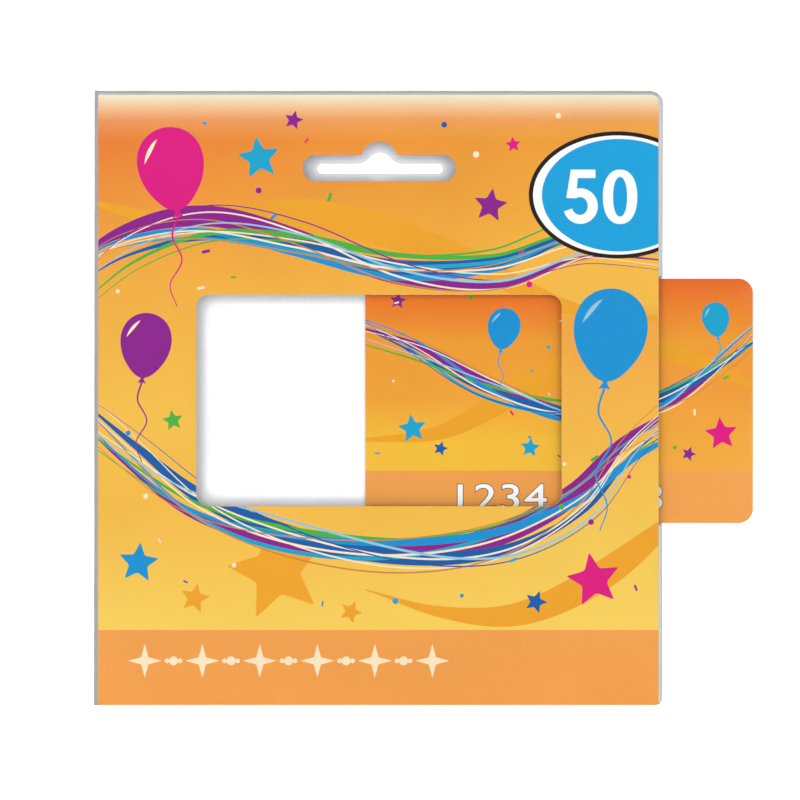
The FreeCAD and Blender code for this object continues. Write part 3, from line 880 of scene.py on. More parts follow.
def front_print():
    s = []
    # broad soft swashes and stars, tone on tone
    s.append(ribbon([(-72, 112), (-44, 105), (-14, 108), (16, 101), (44, 88), (72, 84)], 1.6, 1.0, 0.1, 0,
                    swell(7.0, 0.4, 0.42), B["tone"]))
    s.append(ribbon([(-3, 25.0), (14, 21.0), (32, 21.2), (52, 30.5), (74, 48)], 0.8, 0.8, 0.4, 0,
                    swell(6.4, 0.3, 0.62), B["tone"]))
    s.append(shape(star(-22.5, 29.6, 11.2, rot=102, soft=0.07), B["tone"]))
    s.append(shape(star(-40.6, 23.6, 3.4, rot=78, soft=0.08), B["tone"]))
    s.append(shape(star(-6.2, 20.6, 2.6, rot=66, soft=0.08), B["tone"]))

    # garland of streamers over the window
    up = [(-70, 92.5), (-56, 101.5), (-38, 105.5), (-18, 102.0), (4, 95.6), (26, 95.0), (46, 101.5), (70, 99.5)]
    for amp, freq, ph, dr, wd, ink in (
            (1.5, 1.00, 0.02, -4.5, swell(4.6, 0.25, 0.24, 1.8), "purple"),
            (1.8, 0.95, 0.52, 2.5, swell(3.6, 0.25, 0.60, 1.8), "deep"),
            (2.3, 1.20, 0.22, 0.5, swell(1.5, 0.2, 0.36), "azure"),
            (2.8, 1.30, 0.32, 0.0, swell(0.95, 0.2, 0.5), "cyan"),
            (3.6, 0.80, 0.74, 4.0, swell(1.20, 0.2, 0.34), "green"),
            (4.4, 0.75, 0.70, 5.5, swell(0.50, 0.15, 0.5), "green"),
            (1.2, 1.60, 0.15, 1.0, swell(0.50, 0.15, 0.5), "cream"),
            (2.9, 1.20, 0.86, -2.0, swell(0.42, 0.15, 0.5), "cream"),
            (2.0, 1.45, 0.40, -3.5, swell(0.36, 0.12, 0.5), "cream"),
            (3.8, 1.00, 0.45, -5.0, swell(0.34, 0.12, 0.5), "tan"),
            (4.8, 0.70, 0.20, 6.0, swell(0.32, 0.12, 0.5), "tan"),
            (5.4, 0.85, 0.95, 2.0, swell(0.30, 0.10, 0.5), "purple"),
            (1.9, 1.40, 0.65, 0.0, swell(0.55, 0.15, 0.7), "pale")):
        s.append(ribbon(up, amp, freq, ph, dr, wd, B[ink], 20))
    # and another that comes up under it on the right
    low = [(-70, 69), (-55, 55.5), (-40, 44.0), (-20, 36.8), (4, 33.4), (26, 35.6), (44, 44.5), (56, 57), (72, 68)]
    for amp, freq, ph, dr, wd, ink in (
            (1.7, 1.00, 0.52, 2.5, swell(4.8, 0.25, 0.74, 1.8), "purple"),
            (1.5, 1.10, 0.02, -2.5, swell(4.0, 0.25, 0.34, 1.8), "deep"),
            (2.9, 0.90, 0.80, 0.0, swell(1.10, 0.2, 0.5), "green"),
            (3.8, 0.80, 0.76, 1.5, swell(0.45, 0.15, 0.5), "green"),
            (2.4, 1.40, 0.25, 3.0, swell(0.95, 0.2, 0.35), "cyan"),
            (3.0, 1.10, 0.60, -3.0, swell(1.90, 0.2, 0.80), "azure"),
            (1.0, 1.70, 0.10, 0.0, swell(0.50, 0.15, 0.5), "cream"),
            (2.2, 1.30, 0.90, 2.0, swell(0.45, 0.15, 0.5), "cream"),
            (3.3, 1.00, 0.18, -1.0, swell(0.36, 0.12, 0.5), "cream"),
            (4.2, 0.80, 0.35, 4.0, swell(0.34, 0.12, 0.5), "tan"),
            (5.0, 0.90, 0.66, -4.0, swell(0.30, 0.10, 0.5), "tan"),
            (4.6, 1.00, 0.05, -2.0, swell(0.30, 0.10, 0.5), "deep"),
            (3.4, 1.50, 0.70, -4.0, swell(0.55, 0.15, 0.5), "pale")):
        s.append(ribbon(low, amp, freq, ph, dr, wd, B[ink], 20))

    # balloons and stars
    with_balloon(s, -45.8, 118.6, 14.6, 17.8, -8, B["pink"], B["cream"],
                 [(-1.2, -4.6), (0.9, -9.8), (-1.7, -15.2), (-0.2, -20.0)], B["pink"], 0.46)
    with_balloon(s, 51.0, 82.0, 16.2, 19.8, 6, B["azure"], B["pale"],
                 [(-1.3, -5.6), (1.5, -12.0), (-1.9, -19.0), (0.6, -26.0), (-1.0, -31.5)], B["azure"], 0.50)
    with_balloon(s, -51.4, 79.6, 11.2, 13.8, 6, B["purple"], B["cream"],
                 [(-0.9, -4.0), (1.1, -8.6), (-1.3, -13.4), (0.0, -17.6)], B["purple"], 0.40)
    s.append(shape(star(-26.4, 120.6, 4.9, rot=98), B["cyan"]))
    s.append(shape(star(-18.8, 129.0, 2.2, rot=76), B["purple"]))
    s.append(shape(star(24.6, 110.2, 3.9, rot=82), B["purple"]))
    s.append(shape(star(29.6, 123.6, 1.8, rot=96), B["pink"]))
    s.append(shape(star(47.4, 27.6, 6.2, rot=100), B["pink"]))
    s.append(shape(star(34.6, 22.8, 2.6, rot=70), B["deep"]))
    s.append(shape(star(-53.0, 31.4, 4.6, rot=84), B["azure"]))
    s.append(shape(star(-45.4, 62.8, 2.4, rot=100), B["green"]))
    confetti(s, 41, 30, -59, 59, 20, 130, 6.5,
             [(0, 67, 43, 26), (0, 67, 42, 40), (0, 119, 20, 8), (52.4, 112.6, 23, 17), (-45.8, 114, 10, 17),
              (51, 76, 12, 22), (-51.4, 76, 9, 15), (-26.4, 120.6, 7, 7), (24.6, 110.2, 6, 6), (47.4, 27.6, 8.5, 8.5),
              (-53, 31.4, 6.5, 6.5), (47.7, 47.6, 4, 4), (-22.5, 29.6, 8, 8), (-45.4, 62.8, 4, 4), (34.6, 22.8, 4, 4)],
             [B[k] for k in ("cyan", "pink", "cream", "green", "purple", "cream", "azure", "deep")], 0.36, 0.74)

    # badge with a plain number
    s.append(shape(ellipse(52.6, 112.51, 19.56, 14.01, 160), B["black"]))
    s.append(shape(ellipse(52.6, 112.49, 18.61, 13.13, 160), B["white"]))
    s.append(shape(ellipse(53.0, 112.45, 17.06, 12.42, 160), B["sky"]))
    s.append(shape(figure_five(12.0, 40.72, 106.1), B["white"]))
    s.append(shape(figure_zero(12.0, 49.40, 106.1), B["white"], nonzero=False))

    # plain band along the bottom, with a row of small ornaments
    s.append(shape([(-70, -5), (70, -5), (70, BAND_TOP), (-70, BAND_TOP)], B["band"]))
    for i in range(6):
        x = -51.6 + 12.68 * i
        s.append(shape(star(x, 9.8, 3.75, points=4, inner=0.30, rot=90, soft=0.04), B["cream"]))
        if i < 5:
            for dx, r in ((4.90, 0.52), (6.34, 0.98), (7.78, 0.52)):
                s.append(shape(ellipse(x + dx, 9.8, r, r, 32), B["cream"]))
    return s


def card_print():
    s = []
    s.append(ribbon([(-8, 57), (14, 60), (36, 73), (60, 79), (90, 66)], 1.0, 1.0, 0.2, 0,
                    swell(6.0, 0.4, 0.5), C["tone"]))
    flow = [(-8, 85), (8, 78.5), (24, 70.0), (42, 64.5), (60, 66.0), (73, 73.5), (88, 86)]
    for amp, freq, ph, dr, wd, ink in (
            (1.4, 1.0, 0.02, 1.5, swell(2.7, 0.2, 0.30, 1.7), "purple"),
            (1.3, 1.1, 0.52, -1.5, swell(2.2, 0.2, 0.72, 1.7), "deep"),
            (2.2, 1.4, 0.30, 0.0, swell(0.80, 0.15, 0.5), "cyan"),
            (2.6, 0.9, 0.75, 2.0, swell(0.70, 0.15, 0.4), "green"),
            (1.8, 1.2, 0.12, -0.5, swell(1.00, 0.15, 0.6), "azure"),
            (0.8, 1.6, 0.15, 0.0, swell(0.38, 0.12, 0.5), "cream"),
            (1.9, 1.3, 0.85, -1.0, swell(0.34, 0.12, 0.5), "cream"),
            (3.0, 1.1, 0.45, -3.0, swell(0.28, 0.10, 0.5), "deep"),
            (3.2, 0.8, 0.05, 2.5, swell(0.26, 0.10, 0.5), "tan"),
            (1.5, 1.8, 0.60, 1.0, swell(0.42, 0.12, 0.6), "pale")):
        s.append(ribbon(flow, amp, freq, ph, dr, wd, C[ink], 20))
    with_balloon(s, 27.6, 83.2, 7.2, 8.8, 8, C["azure"], C["pale"],
                 [(-0.5, -2.6), (0.6, -5.4), (-0.8, -8.4)], C["azure"], 0.28)
    with_balloon(s, 74.4, 85.2, 6.0, 7.4, -7, C["cyan"], C["pale"],
                 [(0.5, -2.4), (-0.6, -4.8), (0.7, -7.4)], C["cyan"], 0.26)
    s.append(shape(star(7.4, 61.0, 3.3, rot=98), C["cyan"]))
    s.append(shape(star(13.6, 56.6, 1.7, rot=74), C["deep"]))
    s.append(shape(star(33.4, 56.8, 2.3, rot=84), C["cyan"]))
    s.append(shape(star(75.6, 59.8, 3.8, rot=96), C["pink"]))
    s.append(shape(star(68.4, 55.4, 1.7, rot=70), C["purple"]))
    s.append(shape(star(50.0, 86.0, 3.0, rot=90), C["purple"]))
    s.append(shape(star(4.2, 89.2, 1.9, rot=84), C["purple"]))
    confetti(s, 12, 20, -1, 80, 54, 92, 5.5,
             [(27.6, 81, 6, 9), (74.4, 82, 5, 9), (7.4, 61, 5, 5), (75.6, 59.8, 5.5, 5.5), (50, 86, 4.5, 4.5)],
             [C[k] for k in ("cream", "cyan", "pink", "cream", "green")], 0.24, 0.50)
    s.append(shape([(-10, 30), (90, 30), (90, CARD_BAND), (-10, CARD_BAND)], C["band"]))
    # plain figures, white with a thin dark edge
    for edge, ink in ((0.20, "outline"), (0.0, "white")):
        s.append(shape(glyphs("1234 5678", 5.8, 45.2, 17.4, 42.95, bold=0.004, edge=edge, gap=1.06), C[ink],
                       nonzero=False))
    return s


C["outline"] = len(CARD_INKS)
CARD_INKS.append(ink_on("plastic", "card_outline", color=(126, 100, 88), seed=5.2))


# ------------------------------------------------------------------ carton pieces
def ride(ob, body, node):
    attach(ob, body)
    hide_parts(node)


win_loop = rounded(WIN[0], WIN[1], WIN[2], WIN[3], WIN[4], WIN[4], WIN[4], WIN[4], 16)
slot_front = [(x + 0.10, z - 0.19) for x, z in euro_slot(33.8, 5.85, 118.6, 4.05, 124.5, 0.4, 14)]
slot_back = [(x + 0.25, z) for x, z in euro_slot(27.9, 2.4, 118.42, 3.0, 122.08, 3.4, 14)]

# The outline bends round two corners on the right. What is left of the print
# there is the outline less the fold, which pinches at the upper corner.
TR = (RIGHT - CORNER_TR, TOP - CORNER_TR)
BR = (RIGHT - CORNER_BR, CORNER_BR)
BULGE = 0.15           # how far the right wall stands out at its upper end


def tr_outline(a):
    return CORNER_TR + BULGE * math.cos(math.radians(a)) ** 2


def tr_print(a):
    return CORNER_TR - FOLD + 0.22 * math.sin(math.radians(2 * a)) ** 2


def br_print(a):
    return CORNER_BR - FOLD + (FOLD - BOTTOM_FOLD) * -a / 90.0


def about(centre, radius, a0, a1, n):
    out = []
    for i in range(n + 1):
        a = a0 + (a1 - a0) * i / n
        out.append((centre[0] + radius(a) * math.cos(math.radians(a)),
                    centre[1] + radius(a) * math.sin(math.radians(a))))
    return out


print_outline = clean([(PX0, PZ0)] + about(BR, br_print, -90, 0, 12) + about(TR, tr_print, 0, 90, 24)
                      + [(PX0, PZ1)])
front_region = [print_outline, win_loop, slot_front]
front_piece = slab("front_panel_board", front_region, front_print(), FRONT, IN_FRONT, 0.06, BOARD_INKS,
                   B_CORE, B_INNER, rim=B_RIM)
ride(front_piece, "carton", "front_panel")

ZT, ZB, XR = TOP - BACK_FOLD, BACK_FOLD, RIGHT - BACK_FOLD
FLAP_TOP = [(-57.5, ZT - 8.2), (56.4, ZT - 8.2), (59.4, ZT), (-60.5, ZT)]
FLAP_BOTTOM = [(-60.5, ZB), (60.0, ZB), (57.0, ZB + 8.6), (-57.5, ZB + 8.6)]
FLAP_LOWER = [(XR, 2.4), (XR, 33.4), (XR - 8.4, 31.2), (XR - 8.4, 10.8), (XR - 4.2, 9.6), (XR - 0.6, 2.4)]
# the upper flap is trimmed along the top one's slanted end
FLAP_UPPER = [(XR, 101.2), (XR, 132.3), (59.0, 132.3), (56.7, ZT - 8.4), (56.3, ZT - 8.4), (XR - 8.4, 124.6),
              (XR - 8.4, 103.4)]


def softened(loop, r, n=4):
    """Rounds a polygon's corners by about r."""
    if area(loop) < 0:
        loop = loop[::-1]
    out = []
    for i, b in enumerate(loop):
        a, c = np.array(loop[i - 1]), np.array(loop[(i + 1) % len(loop)])
        b = np.array(b)
        ua, uc = (a - b) / np.linalg.norm(a - b), (c - b) / np.linalg.norm(c - b)
        s = min(r, 0.4 * np.linalg.norm(a - b), 0.4 * np.linalg.norm(c - b))
        for k in range(n + 1):
            t = k / n
            out.append(tuple((1 - t) ** 2 * (b + ua * s) + 2 * t * (1 - t) * b + t * t * (b + uc * s)))
    return clean(out)


# what is glued inside shows through the back panel as a faint raised patch
patches = [softened([(-57.0, ZT - 8.2), (56.4, ZT - 8.2), (58.9, ZT - 0.9), (-59.9, ZT - 0.9)], 1.0),
           softened([(-59.9, ZB + 0.9), (59.4, ZB + 0.9), (57.0, ZB + 8.6), (-57.0, ZB + 8.6)], 1.0),
           softened([(61.1, 101.6), (61.1, 124.9), (XR - 8.4, 124.6), (XR - 8.4, 103.4)], 1.0),
           softened([(61.1, 11.0), (61.1, 33.0), (XR - 8.4, 31.2), (XR - 8.4, 11.2)], 1.0),
           softened([(-48.1, 33.8), (61.0, 33.8), (61.0, 39.9), (-43.1, 39.9), (-43.1, 94.3), (61.0, 94.3),
                     (61.0, 100.4), (-48.1, 100.4)], 0.8)]
RISE = [0.0, 0.22, 0.42, 0.62]


def relief(points):
    """Height of the raised patches over the back panel, from a soft slope."""
    out = np.zeros(len(points))
    for loop in patches:
        for k, d in enumerate(RISE[1:], 1):
            ring = offset(loop, -d * 0.98) if d else loop
            hit = inside(points[:, 0], points[:, 1], [ring], True)
            out[hit] = np.maximum(out[hit], (0.012, 0.034, 0.045)[k - 1])
    return out


back_region = [clean([(PX0, 0.0)] + about(BR, lambda a: CORNER_BR, -90, 0, 12)
                     + about(TR, lambda a: CORNER_TR, 0, 90, 20) + [(PX0, TOP)]), slot_back]
rings = [shape(offset(loop, -d) if d else loop, 0) for loop in patches for d in RISE]
back_piece = slab("back_panel_board", back_region, [], IN_BACK, BACK, 0.06,
                  [inner_face, cut_core, back_board], 1, 2, back_shapes=rings, back_ink=[2], back_lift=relief)
ride(back_piece, "carton", "back_panel")


def fold_section(rf, rb=BACK_FOLD, n=10, lap=0.0):
    """Section of a wall folded from the front panel and turned in behind the
    back panel. Materials: 0 outside, 1 core, 2 inside. With a lap the outside
    runs on over the panel's edge, so that the print shows no seam."""
    out = [(rf, FRONT, 0, 0)]
    for i in range(1, n + 1):
        a = math.radians(90.0 * i / n)
        out.append((rf - rf * math.sin(a), FRONT + rf - rf * math.cos(a), 0, 1))
    for i in range(1, 4):
        y = (FRONT + rf) + (IN_BACK - rb - FRONT - rf) * i / 4
        out.append((0.0, y, 0, 1))
    for i in range(0, n + 1):
        a = math.radians(90.0 * i / n)
        out.append((rb - rb * math.cos(a), IN_BACK - rb + rb * math.sin(a), 0 if i < n else 1, 1 if i < n else 0))
    q = rb - BOARD
    for i in range(0, 4):
        a = math.radians(90.0 * i / 3)
        out.append((rb - q * math.sin(a), IN_BACK - rb + q * math.cos(a), 2, 0))
    q = rf - BOARD
    for i in range(0, n + 1):
        a = math.radians(90.0 * i / n)
        out.append((rf - q * math.cos(a), FRONT + rf - q * math.sin(a), 2 if i < n else 1, 0))
    if lap:
        out.append((rf, FRONT + lap, 1, 0))
        out.append((rf + lap, FRONT, 0, 0))
    return out


def straight(x0, z0, x1, z1, nx, nz, step=1.5, t0=0.0, t1=0.0):
    n = max(2, int(math.hypot(x1 - x0, z1 - z0) / step))
    return [(x0 + (x1 - x0) * i / n, z0 + (z1 - z0) * i / n, nx, nz, t0 + (t1 - t0) * i / n) for i in range(n + 1)]


def bend(cx, cz, r, a0, a1, n=10, t0=0.0, t1=0.0):
    out = []
    for i in range(n + 1):
        a = math.radians(a0 + (a1 - a0) * i / n)
        out.append((cx + r * math.cos(a), cz + r * math.sin(a), -math.cos(a), -math.sin(a), t0 + (t1 - t0) * i / n))
    return out


def joined(*runs):
    out = []
    for run in runs:
        for p in run:
            if not out or math.hypot(p[0] - out[-1][0], p[1] - out[-1][1]) > 1e-6:
                out.append(p)
    return out


def tr_bend(a0, a1, n=10):
    """Round the upper right corner, with the fold's width as the last value."""
    out = []
    for i in range(n + 1):
        a = a0 + (a1 - a0) * i / n
        c, q = math.cos(math.radians(a)), math.sin(math.radians(a))
        out.append((TR[0] + tr_outline(a) * c, TR[1] + tr_outline(a) * q, -c, -q, tr_outline(a) - tr_print(a)))
    return out


wall_mats = [fold_left, cut_core, inner_white]
top_mats = [fold_top, cut_core, inner_white]
right_mats = [fold_right, cut_core, inner_white]
top_path = joined(straight(PX0 - 0.35, TOP, TR[0], TOP, 0, -1, t0=FOLD, t1=FOLD), tr_bend(90, 45.8))
top_piece = sweep("top_wall_board", top_path, lambda t: fold_section(t), top_mats, 0.012, 3)
ride(top_piece, "carton", "top_wall")

up_run = []
for i in range(31):
    t = i / 30
    b = BULGE * (1 - t * t * (3 - 2 * t))
    up_run.append((RIGHT + b, TR[1] + (MOUTH1 - TR[1]) * t, -1, 0, FOLD + b))
up_path = joined(tr_bend(44.2, 0), up_run)
upper_piece = sweep("right_upper_wall_board", up_path, lambda t: fold_section(t), right_mats, 0.012, 5)
ride(upper_piece, "carton", "right_upper_wall")

low_path = joined(straight(RIGHT, MOUTH0, RIGHT, CORNER_BR, -1, 0),
                  bend(RIGHT - CORNER_BR, CORNER_BR, CORNER_BR, 0, -44, 6, 0.0, 0.5))
lower_piece = sweep("right_lower_wall_board", low_path,
                    lambda t: fold_section(FOLD + (BOTTOM_FOLD - FOLD) * t), right_mats, 0.012, 7)
ride(lower_piece, "carton", "right_lower_wall")

# the band ink, darker on the lowest 0.6 mm where the bottom fold turns under: painted shade
band_fold = ink_on("board", "print_bottom_fold_painted_shade", stops=[(0.0, (222, 160, 98)), (0.30, (232, 158, 84)),
                                                        (0.62, INKS["band"]), (136.0, INKS["band"])], seed=0.37)
bot_path = joined(bend(RIGHT - CORNER_BR, CORNER_BR, CORNER_BR, -46, -90, 6, 0.5, 1.0),
                  straight(RIGHT - CORNER_BR, 0, PX0 - 0.35, 0, 0, 1, t0=1.0, t1=1.0))
bottom_piece = sweep("bottom_wall_board", bot_path,
                     lambda t: fold_section(FOLD + (BOTTOM_FOLD - FOLD) * t, lap=0.062),
                     [band_fold, cut_core, inner_white],
                     0.0, 9)
ride(bottom_piece, "carton", "bottom_wall")


def spine_section(r, n=10):
    out = []
    q = r - BOARD
    for i in range(0, n + 1):
        a = math.radians(90.0 * i / n)
        out.append((r - r * math.sin(a), FRONT + r - r * math.cos(a), 0, 1 if i else 0))
    for i in range(1, 4):
        out.append((0.0, FRONT + r + (BACK - r - FRONT - r) * i / 4, 0, 1))
    for i in range(0, n + 1):
        a = math.radians(90.0 * i / n)
        out.append((r - r * math.cos(a), BACK - r + r * math.sin(a), 0 if i < n else 1, 1 if i < n else 0))
    for i in range(0, n + 1):
        a = math.radians(90.0 * i / n)
        out.append((r - q * math.sin(a), BACK - r + q * math.cos(a), 2, 0))
    for i in range(0, n + 1):
        a = math.radians(90.0 * i / n)
        out.append((r - q * math.cos(a), FRONT + r - q * math.sin(a), 2 if i < n else 1, 0))
    return out


# the spine leans a little: its fold is fuller at the foot than at the top
left_path = []
for i in range(91):
    w = 1.06 - 0.27 * i / 90
    left_path.append((PX0 - w, TOP * i / 90, 1, 0, w))
left_piece = sweep("left_wall_board", left_path, lambda t: spine_section(t), wall_mats, 0.012, 11)
ride(left_piece, "carton", "left_wall")


# ------------------------------------------------------------------ inner strips and flaps
def strip(node, name, mats, y0, y1, loop):
    ob = slab(name, [loop], [], y0, y1, 0.05, mats, 1, 0)
    ride(ob, "carton", node)
    return ob


G0, G1 = -43.1, 61.4
gz1, gz0 = CARD_Z1 + 0.25, CARD_Z0 - 0.25
LIP = -0.06
strip_mats = [guide_face, ply_board]
strip("upper_guide_spacer", "upper_guide_spacer_board", strip_mats, LIP, IN_BACK,
      rounded(G0, G1, gz1, gz1 + 6.05, 0, 0.3, 0.3, 0, 4))
strip("upper_guide_lip", "upper_guide_lip_board", strip_mats, IN_FRONT, LIP,
      rounded(G0, G1, CARD_Z1 - 2.5, gz1 + 6.05, 0, 0.5, 0.3, 0, 4))
strip("lower_guide_spacer", "lower_guide_spacer_board", strip_mats, LIP, IN_BACK,
      rounded(G0, G1, gz0 - 6.05, gz0, 0, 0.3, 0.3, 0, 4))
strip("lower_guide_lip", "lower_guide_lip_board", strip_mats, IN_FRONT, LIP,
      rounded(G0, G1, gz0 - 6.05, CARD_Z0 + 2.5, 0, 0.3, 0.5, 0, 4))
strip("card_stop", "card_stop_board", strip_mats, IN_FRONT, IN_BACK,
      rounded(G0 - 5.0, G0, gz0 - 6.05, gz1 + 6.05, 0.3, 0, 0, 0.3, 4))
flap_mats = [inner_white, cut_core]
for node, loop in (("top_glue_flap", FLAP_TOP), ("bottom_glue_flap", FLAP_BOTTOM),
                   ("right_upper_glue_flap", FLAP_UPPER), ("right_lower_glue_flap", FLAP_LOWER)):
    strip(node, node + "_board", flap_mats, IN_BACK - BOARD, IN_BACK, softened(loop, 0.5))

# ------------------------------------------------------------------ the card
card_core = Nodes("card_edge")
sep = card_core.add("ShaderNodeSeparateXYZ")
card_core.link(card_core.coord.outputs["Object"], sep.inputs[0])
depth = card_core.remap(sep.outputs["Y"], CARD_Y0 * MM, (CARD_Y0 + CARD_T) * MM, 0.0, 1.0)
lam = card_core.add("ShaderNodeValToRGB")
lam.color_ramp.interpolation = "CONSTANT"
lam.color_ramp.elements[0].color = lin((236, 214, 190))
lam.color_ramp.elements[0].position = 0.0
lam.color_ramp.elements[1].color = lin((228, 226, 222))
lam.color_ramp.elements[1].position = 0.9
for pos, c in ((0.10, (196, 186, 174)), (0.13, (246, 246, 244)), (0.50, (236, 236, 235)), (0.53, (246, 246, 244)),
               (0.87, (200, 198, 194))):
    e = lam.color_ramp.elements.new(pos)
    e.color = lin(c)
card_core.link(depth, lam.inputs["Fac"])
milk = card_core.remap(card_core.noise(700.0, 2.0, 0.5), 0.3, 0.7, 0.97, 1.01)
comb = card_core.add("ShaderNodeCombineColor")
for i in range(3):
    card_core.link(milk, comb.inputs[i])
card_core.bump(card_core.noise(1800.0, 3.0, 0.6), 0.3, 0.00002)
card_edge = card_core.done(card_core.mix(1.0, lam.outputs["Color"], comb.outputs[0], "MULTIPLY"),
                           card_core.remap(card_core.noise(900.0, 2.0, 0.5, seed=2.0), 0.3, 0.7, 0.34, 0.46), 0.4)
card_back = ink_on("plastic", "card_back_print", color=(238, 238, 236), seed=8.0)
CARD_INKS += [card_edge, card_back]
card_region = [rounded(CARD_X0, CARD_X0 + CARD_W, CARD_Z0, CARD_Z1, CARD_R, CARD_R, CARD_R, CARD_R, 18)]
card_piece = slab("gift_card_printed", card_region, card_print(), CARD_Y0, CARD_Y0 + CARD_T, 0.05, CARD_INKS,
                  len(CARD_INKS) - 2, len(CARD_INKS) - 1, rim=-1)
ride(card_piece, "card", "gift_card")

tape = Nodes("magnetic_tape")
streak = tape.noise(500.0, 3.0, 0.6, stretch=(0.05, 1.0, 1.0))
tcol = tape.mix(tape.remap(streak, 0.3, 0.7, 0.0, 1.0), lin((34, 30, 28)), lin((50, 45, 42)))
tape.bump(tape.noise(1500.0, 2.0, 0.5, stretch=(0.2, 1, 1)), 0.15, 0.00002)
tape_mat = tape.done(tcol, tape.remap(streak, 0.3, 0.7, 0.26, 0.36), 0.4)
CARD_Y1 = CARD_Y0 + CARD_T
stripe = slab("magnetic_stripe_tape", [rounded(CARD_X0 + 0.05, CARD_X0 + CARD_W - 0.05, CARD_Z1 - 16.7, CARD_Z1 - 4.0,
                                               0.1, 0.1, 0.1, 0.1, 4)],
              [], CARD_Y1, CARD_Y1 + 0.05, 0.015, [tape_mat], 0, 0)
ride(stripe, "card", "magnetic_stripe")

scr = Nodes("scratch_coating")
w = scr.add("ShaderNodeTexVoronoi", feature="F1")
w.inputs["Scale"].default_value = 1400.0
scr.link(scr.coord.outputs["Object"], w.inputs["Vector"])
dots = scr.remap(w.outputs["Distance"], 0.1, 0.6, 1.08, 0.92)
tone = scr.remap(scr.noise(160.0, 2.0, 0.5), 0.3, 0.7, 0.94, 1.05)
comb = scr.add("ShaderNodeCombineColor")
for i in range(3):
    scr.link(scr.math("MULTIPLY", dots, tone), comb.inputs[i])
scr.bump(scr.noise(1400.0, 3.0, 0.6), 0.4, 0.00003)
scr_mat = scr.done(scr.mix(1.0, lin((158, 160, 164)), comb.outputs[0], "MULTIPLY"),
                   scr.remap(scr.noise(600.0, 2.0, 0.5, seed=3.0), 0.3, 0.7, 0.42, 0.58), 0.5, Metallic=0.35)
sx = CARD_X0 + CARD_W - 8.0
panel = slab("scratch_off_coating", [rounded(sx - 38.0, sx, CARD_Z0 + 14.0, CARD_Z0 + 22.0, 0.9, 0.9, 0.9, 0.9, 6)],
             [], CARD_Y1, CARD_Y1 + 0.05, 0.02, [scr_mat], 0, 0)
ride(panel, "card", "scratch_off_panel")

# ------------------------------------------------------------------ stage
bm = bmesh.new()
bmesh.ops.create_grid(bm, x_segments=8, y_segments=8, size=4.0)
pale = Nodes("stage_floor")
fcol = pale.mix(pale.remap(pale.noise(9.0, 3.0, 0.5), 0.3, 0.7, 0.0, 1.0), (0.93, 0.93, 0.93, 1), (0.97, 0.97, 0.97, 1))
floor_mat = pale.done(fcol, 0.9, 0.1, Emission_Color=(1, 1, 1, 1), Emission_Strength=TABLE)
floor = make("stage_floor", bm, [floor_mat])
floor.location = (0, 0, -0.00002)

world = bpy.data.worlds.new("studio")
bpy.context.scene.world = world
world.use_nodes = True
wt = world.node_tree
bg = next(n for n in wt.nodes if n.type == "BACKGROUND")
bg.inputs["Color"].default_value = (1, 1, 1, 1)


def sky(kind, **values):
    n = wt.nodes.new(kind)
    for k, v in values.items():
        setattr(n, k, v)
    return n


# white studio: soft all round, and brighter from a pair of tall softboxes to
# the left and right of the camera, with the same pair behind the carton, and
# a plain white backdrop
way = sky("ShaderNodeTexCoord")
parts = sky("ShaderNodeSeparateXYZ")
wt.links.new(way.outputs["Generated"], parts.inputs[0])


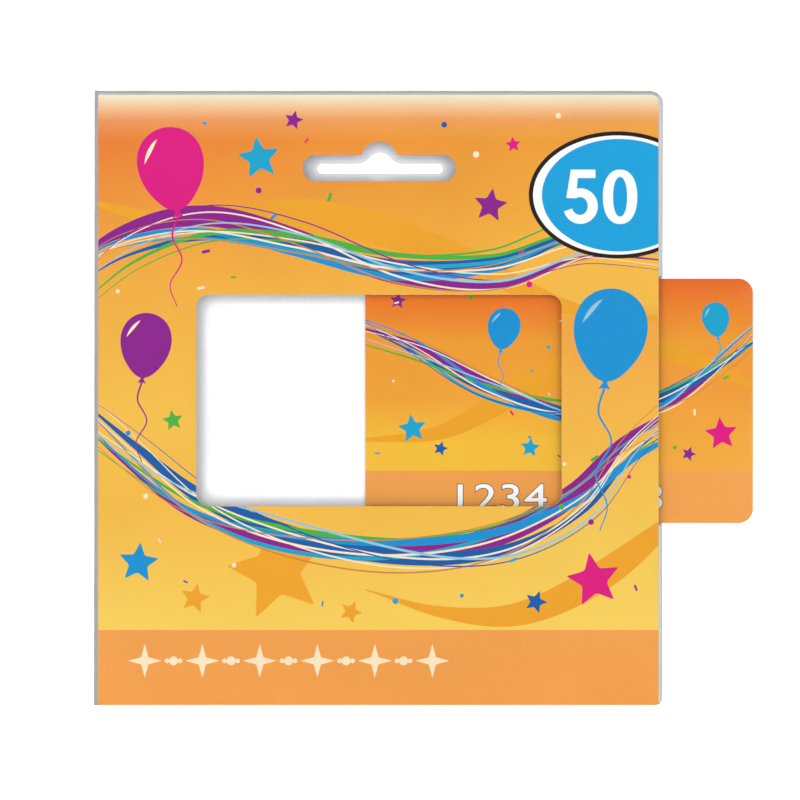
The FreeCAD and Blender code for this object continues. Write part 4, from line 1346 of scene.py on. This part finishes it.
def spread(axis, near, far, inside=1.0, past=0.0):
    """inside within a slope of near to the Y axis, past beyond far, smooth between."""
    ratio = sky("ShaderNodeMath", operation="DIVIDE")
    wt.links.new(parts.outputs[axis], ratio.inputs[0])
    wt.links.new(parts.outputs["Y"], ratio.inputs[1])
    size = sky("ShaderNodeMath", operation="ABSOLUTE")
    wt.links.new(ratio.outputs[0], size.inputs[0])
    m = sky("ShaderNodeMapRange", interpolation_type="SMOOTHSTEP")
    m.inputs["From Min"].default_value = near
    m.inputs["From Max"].default_value = far
    m.inputs["To Min"].default_value = inside
    m.inputs["To Max"].default_value = past
    wt.links.new(size.outputs[0], m.inputs["Value"])
    return m.outputs["Result"]


def both(a, b):
    n = sky("ShaderNodeMath", operation="MULTIPLY")
    wt.links.new(a, n.inputs[0])
    wt.links.new(b, n.inputs[1])
    return n.outputs[0]


box_light = both(both(spread("X", 0.15, 0.40, 0.15, 1.0), spread("X", 0.85, 1.10)), spread("Z", 0.60, 0.95))
soft = sky("ShaderNodeMath", operation="MULTIPLY_ADD")
wt.links.new(box_light, soft.inputs[0])
soft.inputs[1].default_value = SOFTBOX
soft.inputs[2].default_value = AMBIENT
seen = sky("ShaderNodeLightPath")
pick = sky("ShaderNodeMix", data_type="FLOAT")
wt.links.new(seen.outputs["Is Camera Ray"], pick.inputs[0])
wt.links.new(soft.outputs[0], pick.inputs[2])
pick.inputs[3].default_value = 1.05
wt.links.new(pick.outputs[0], bg.inputs["Strength"])


def lamp(name, loc, aim, size, watts):
    li = bpy.data.lights.new(name, "AREA")
    li.shape = "RECTANGLE"
    li.size, li.size_y = size
    li.energy = watts
    ob = bpy.data.objects.new(name, li)
    bpy.context.scene.collection.objects.link(ob)
    ob.location = loc
    ob.rotation_mode = "QUATERNION"
    ob.rotation_quaternion = (Vector(aim) - Vector(loc)).to_track_quat("-Z", "Y")
    ob.visible_camera = False
    return ob


lamp("key_soft", (-0.5, -0.9, 0.9), (0, 0, 0.07), (0.9, 0.9), 1.5)
lamp("back_soft", (0.6, 1.0, 0.8), (0, 0, 0.07), (0.9, 0.9), 1.0)

scene = bpy.context.scene
scene.view_settings.view_transform = "Standard"
scene.view_settings.look = "None"
scene.view_settings.exposure = 0.0
scene.view_settings.gamma = 1.0

cam = bpy.data.cameras.new("camera")
cam.sensor_width = 36.0
DIST = 1.0
cam.lens = 36.0 * DIST / 0.17636
cam.clip_start, cam.clip_end = 0.05, 30.0
cam_ob = bpy.data.objects.new("camera", cam)
scene.collection.objects.link(cam_ob)
cam_ob.location = (0.00466, FRONT * MM - DIST, 0.0673)
cam_ob.rotation_euler = (math.radians(90), 0, 0)
scene.camera = cam_ob
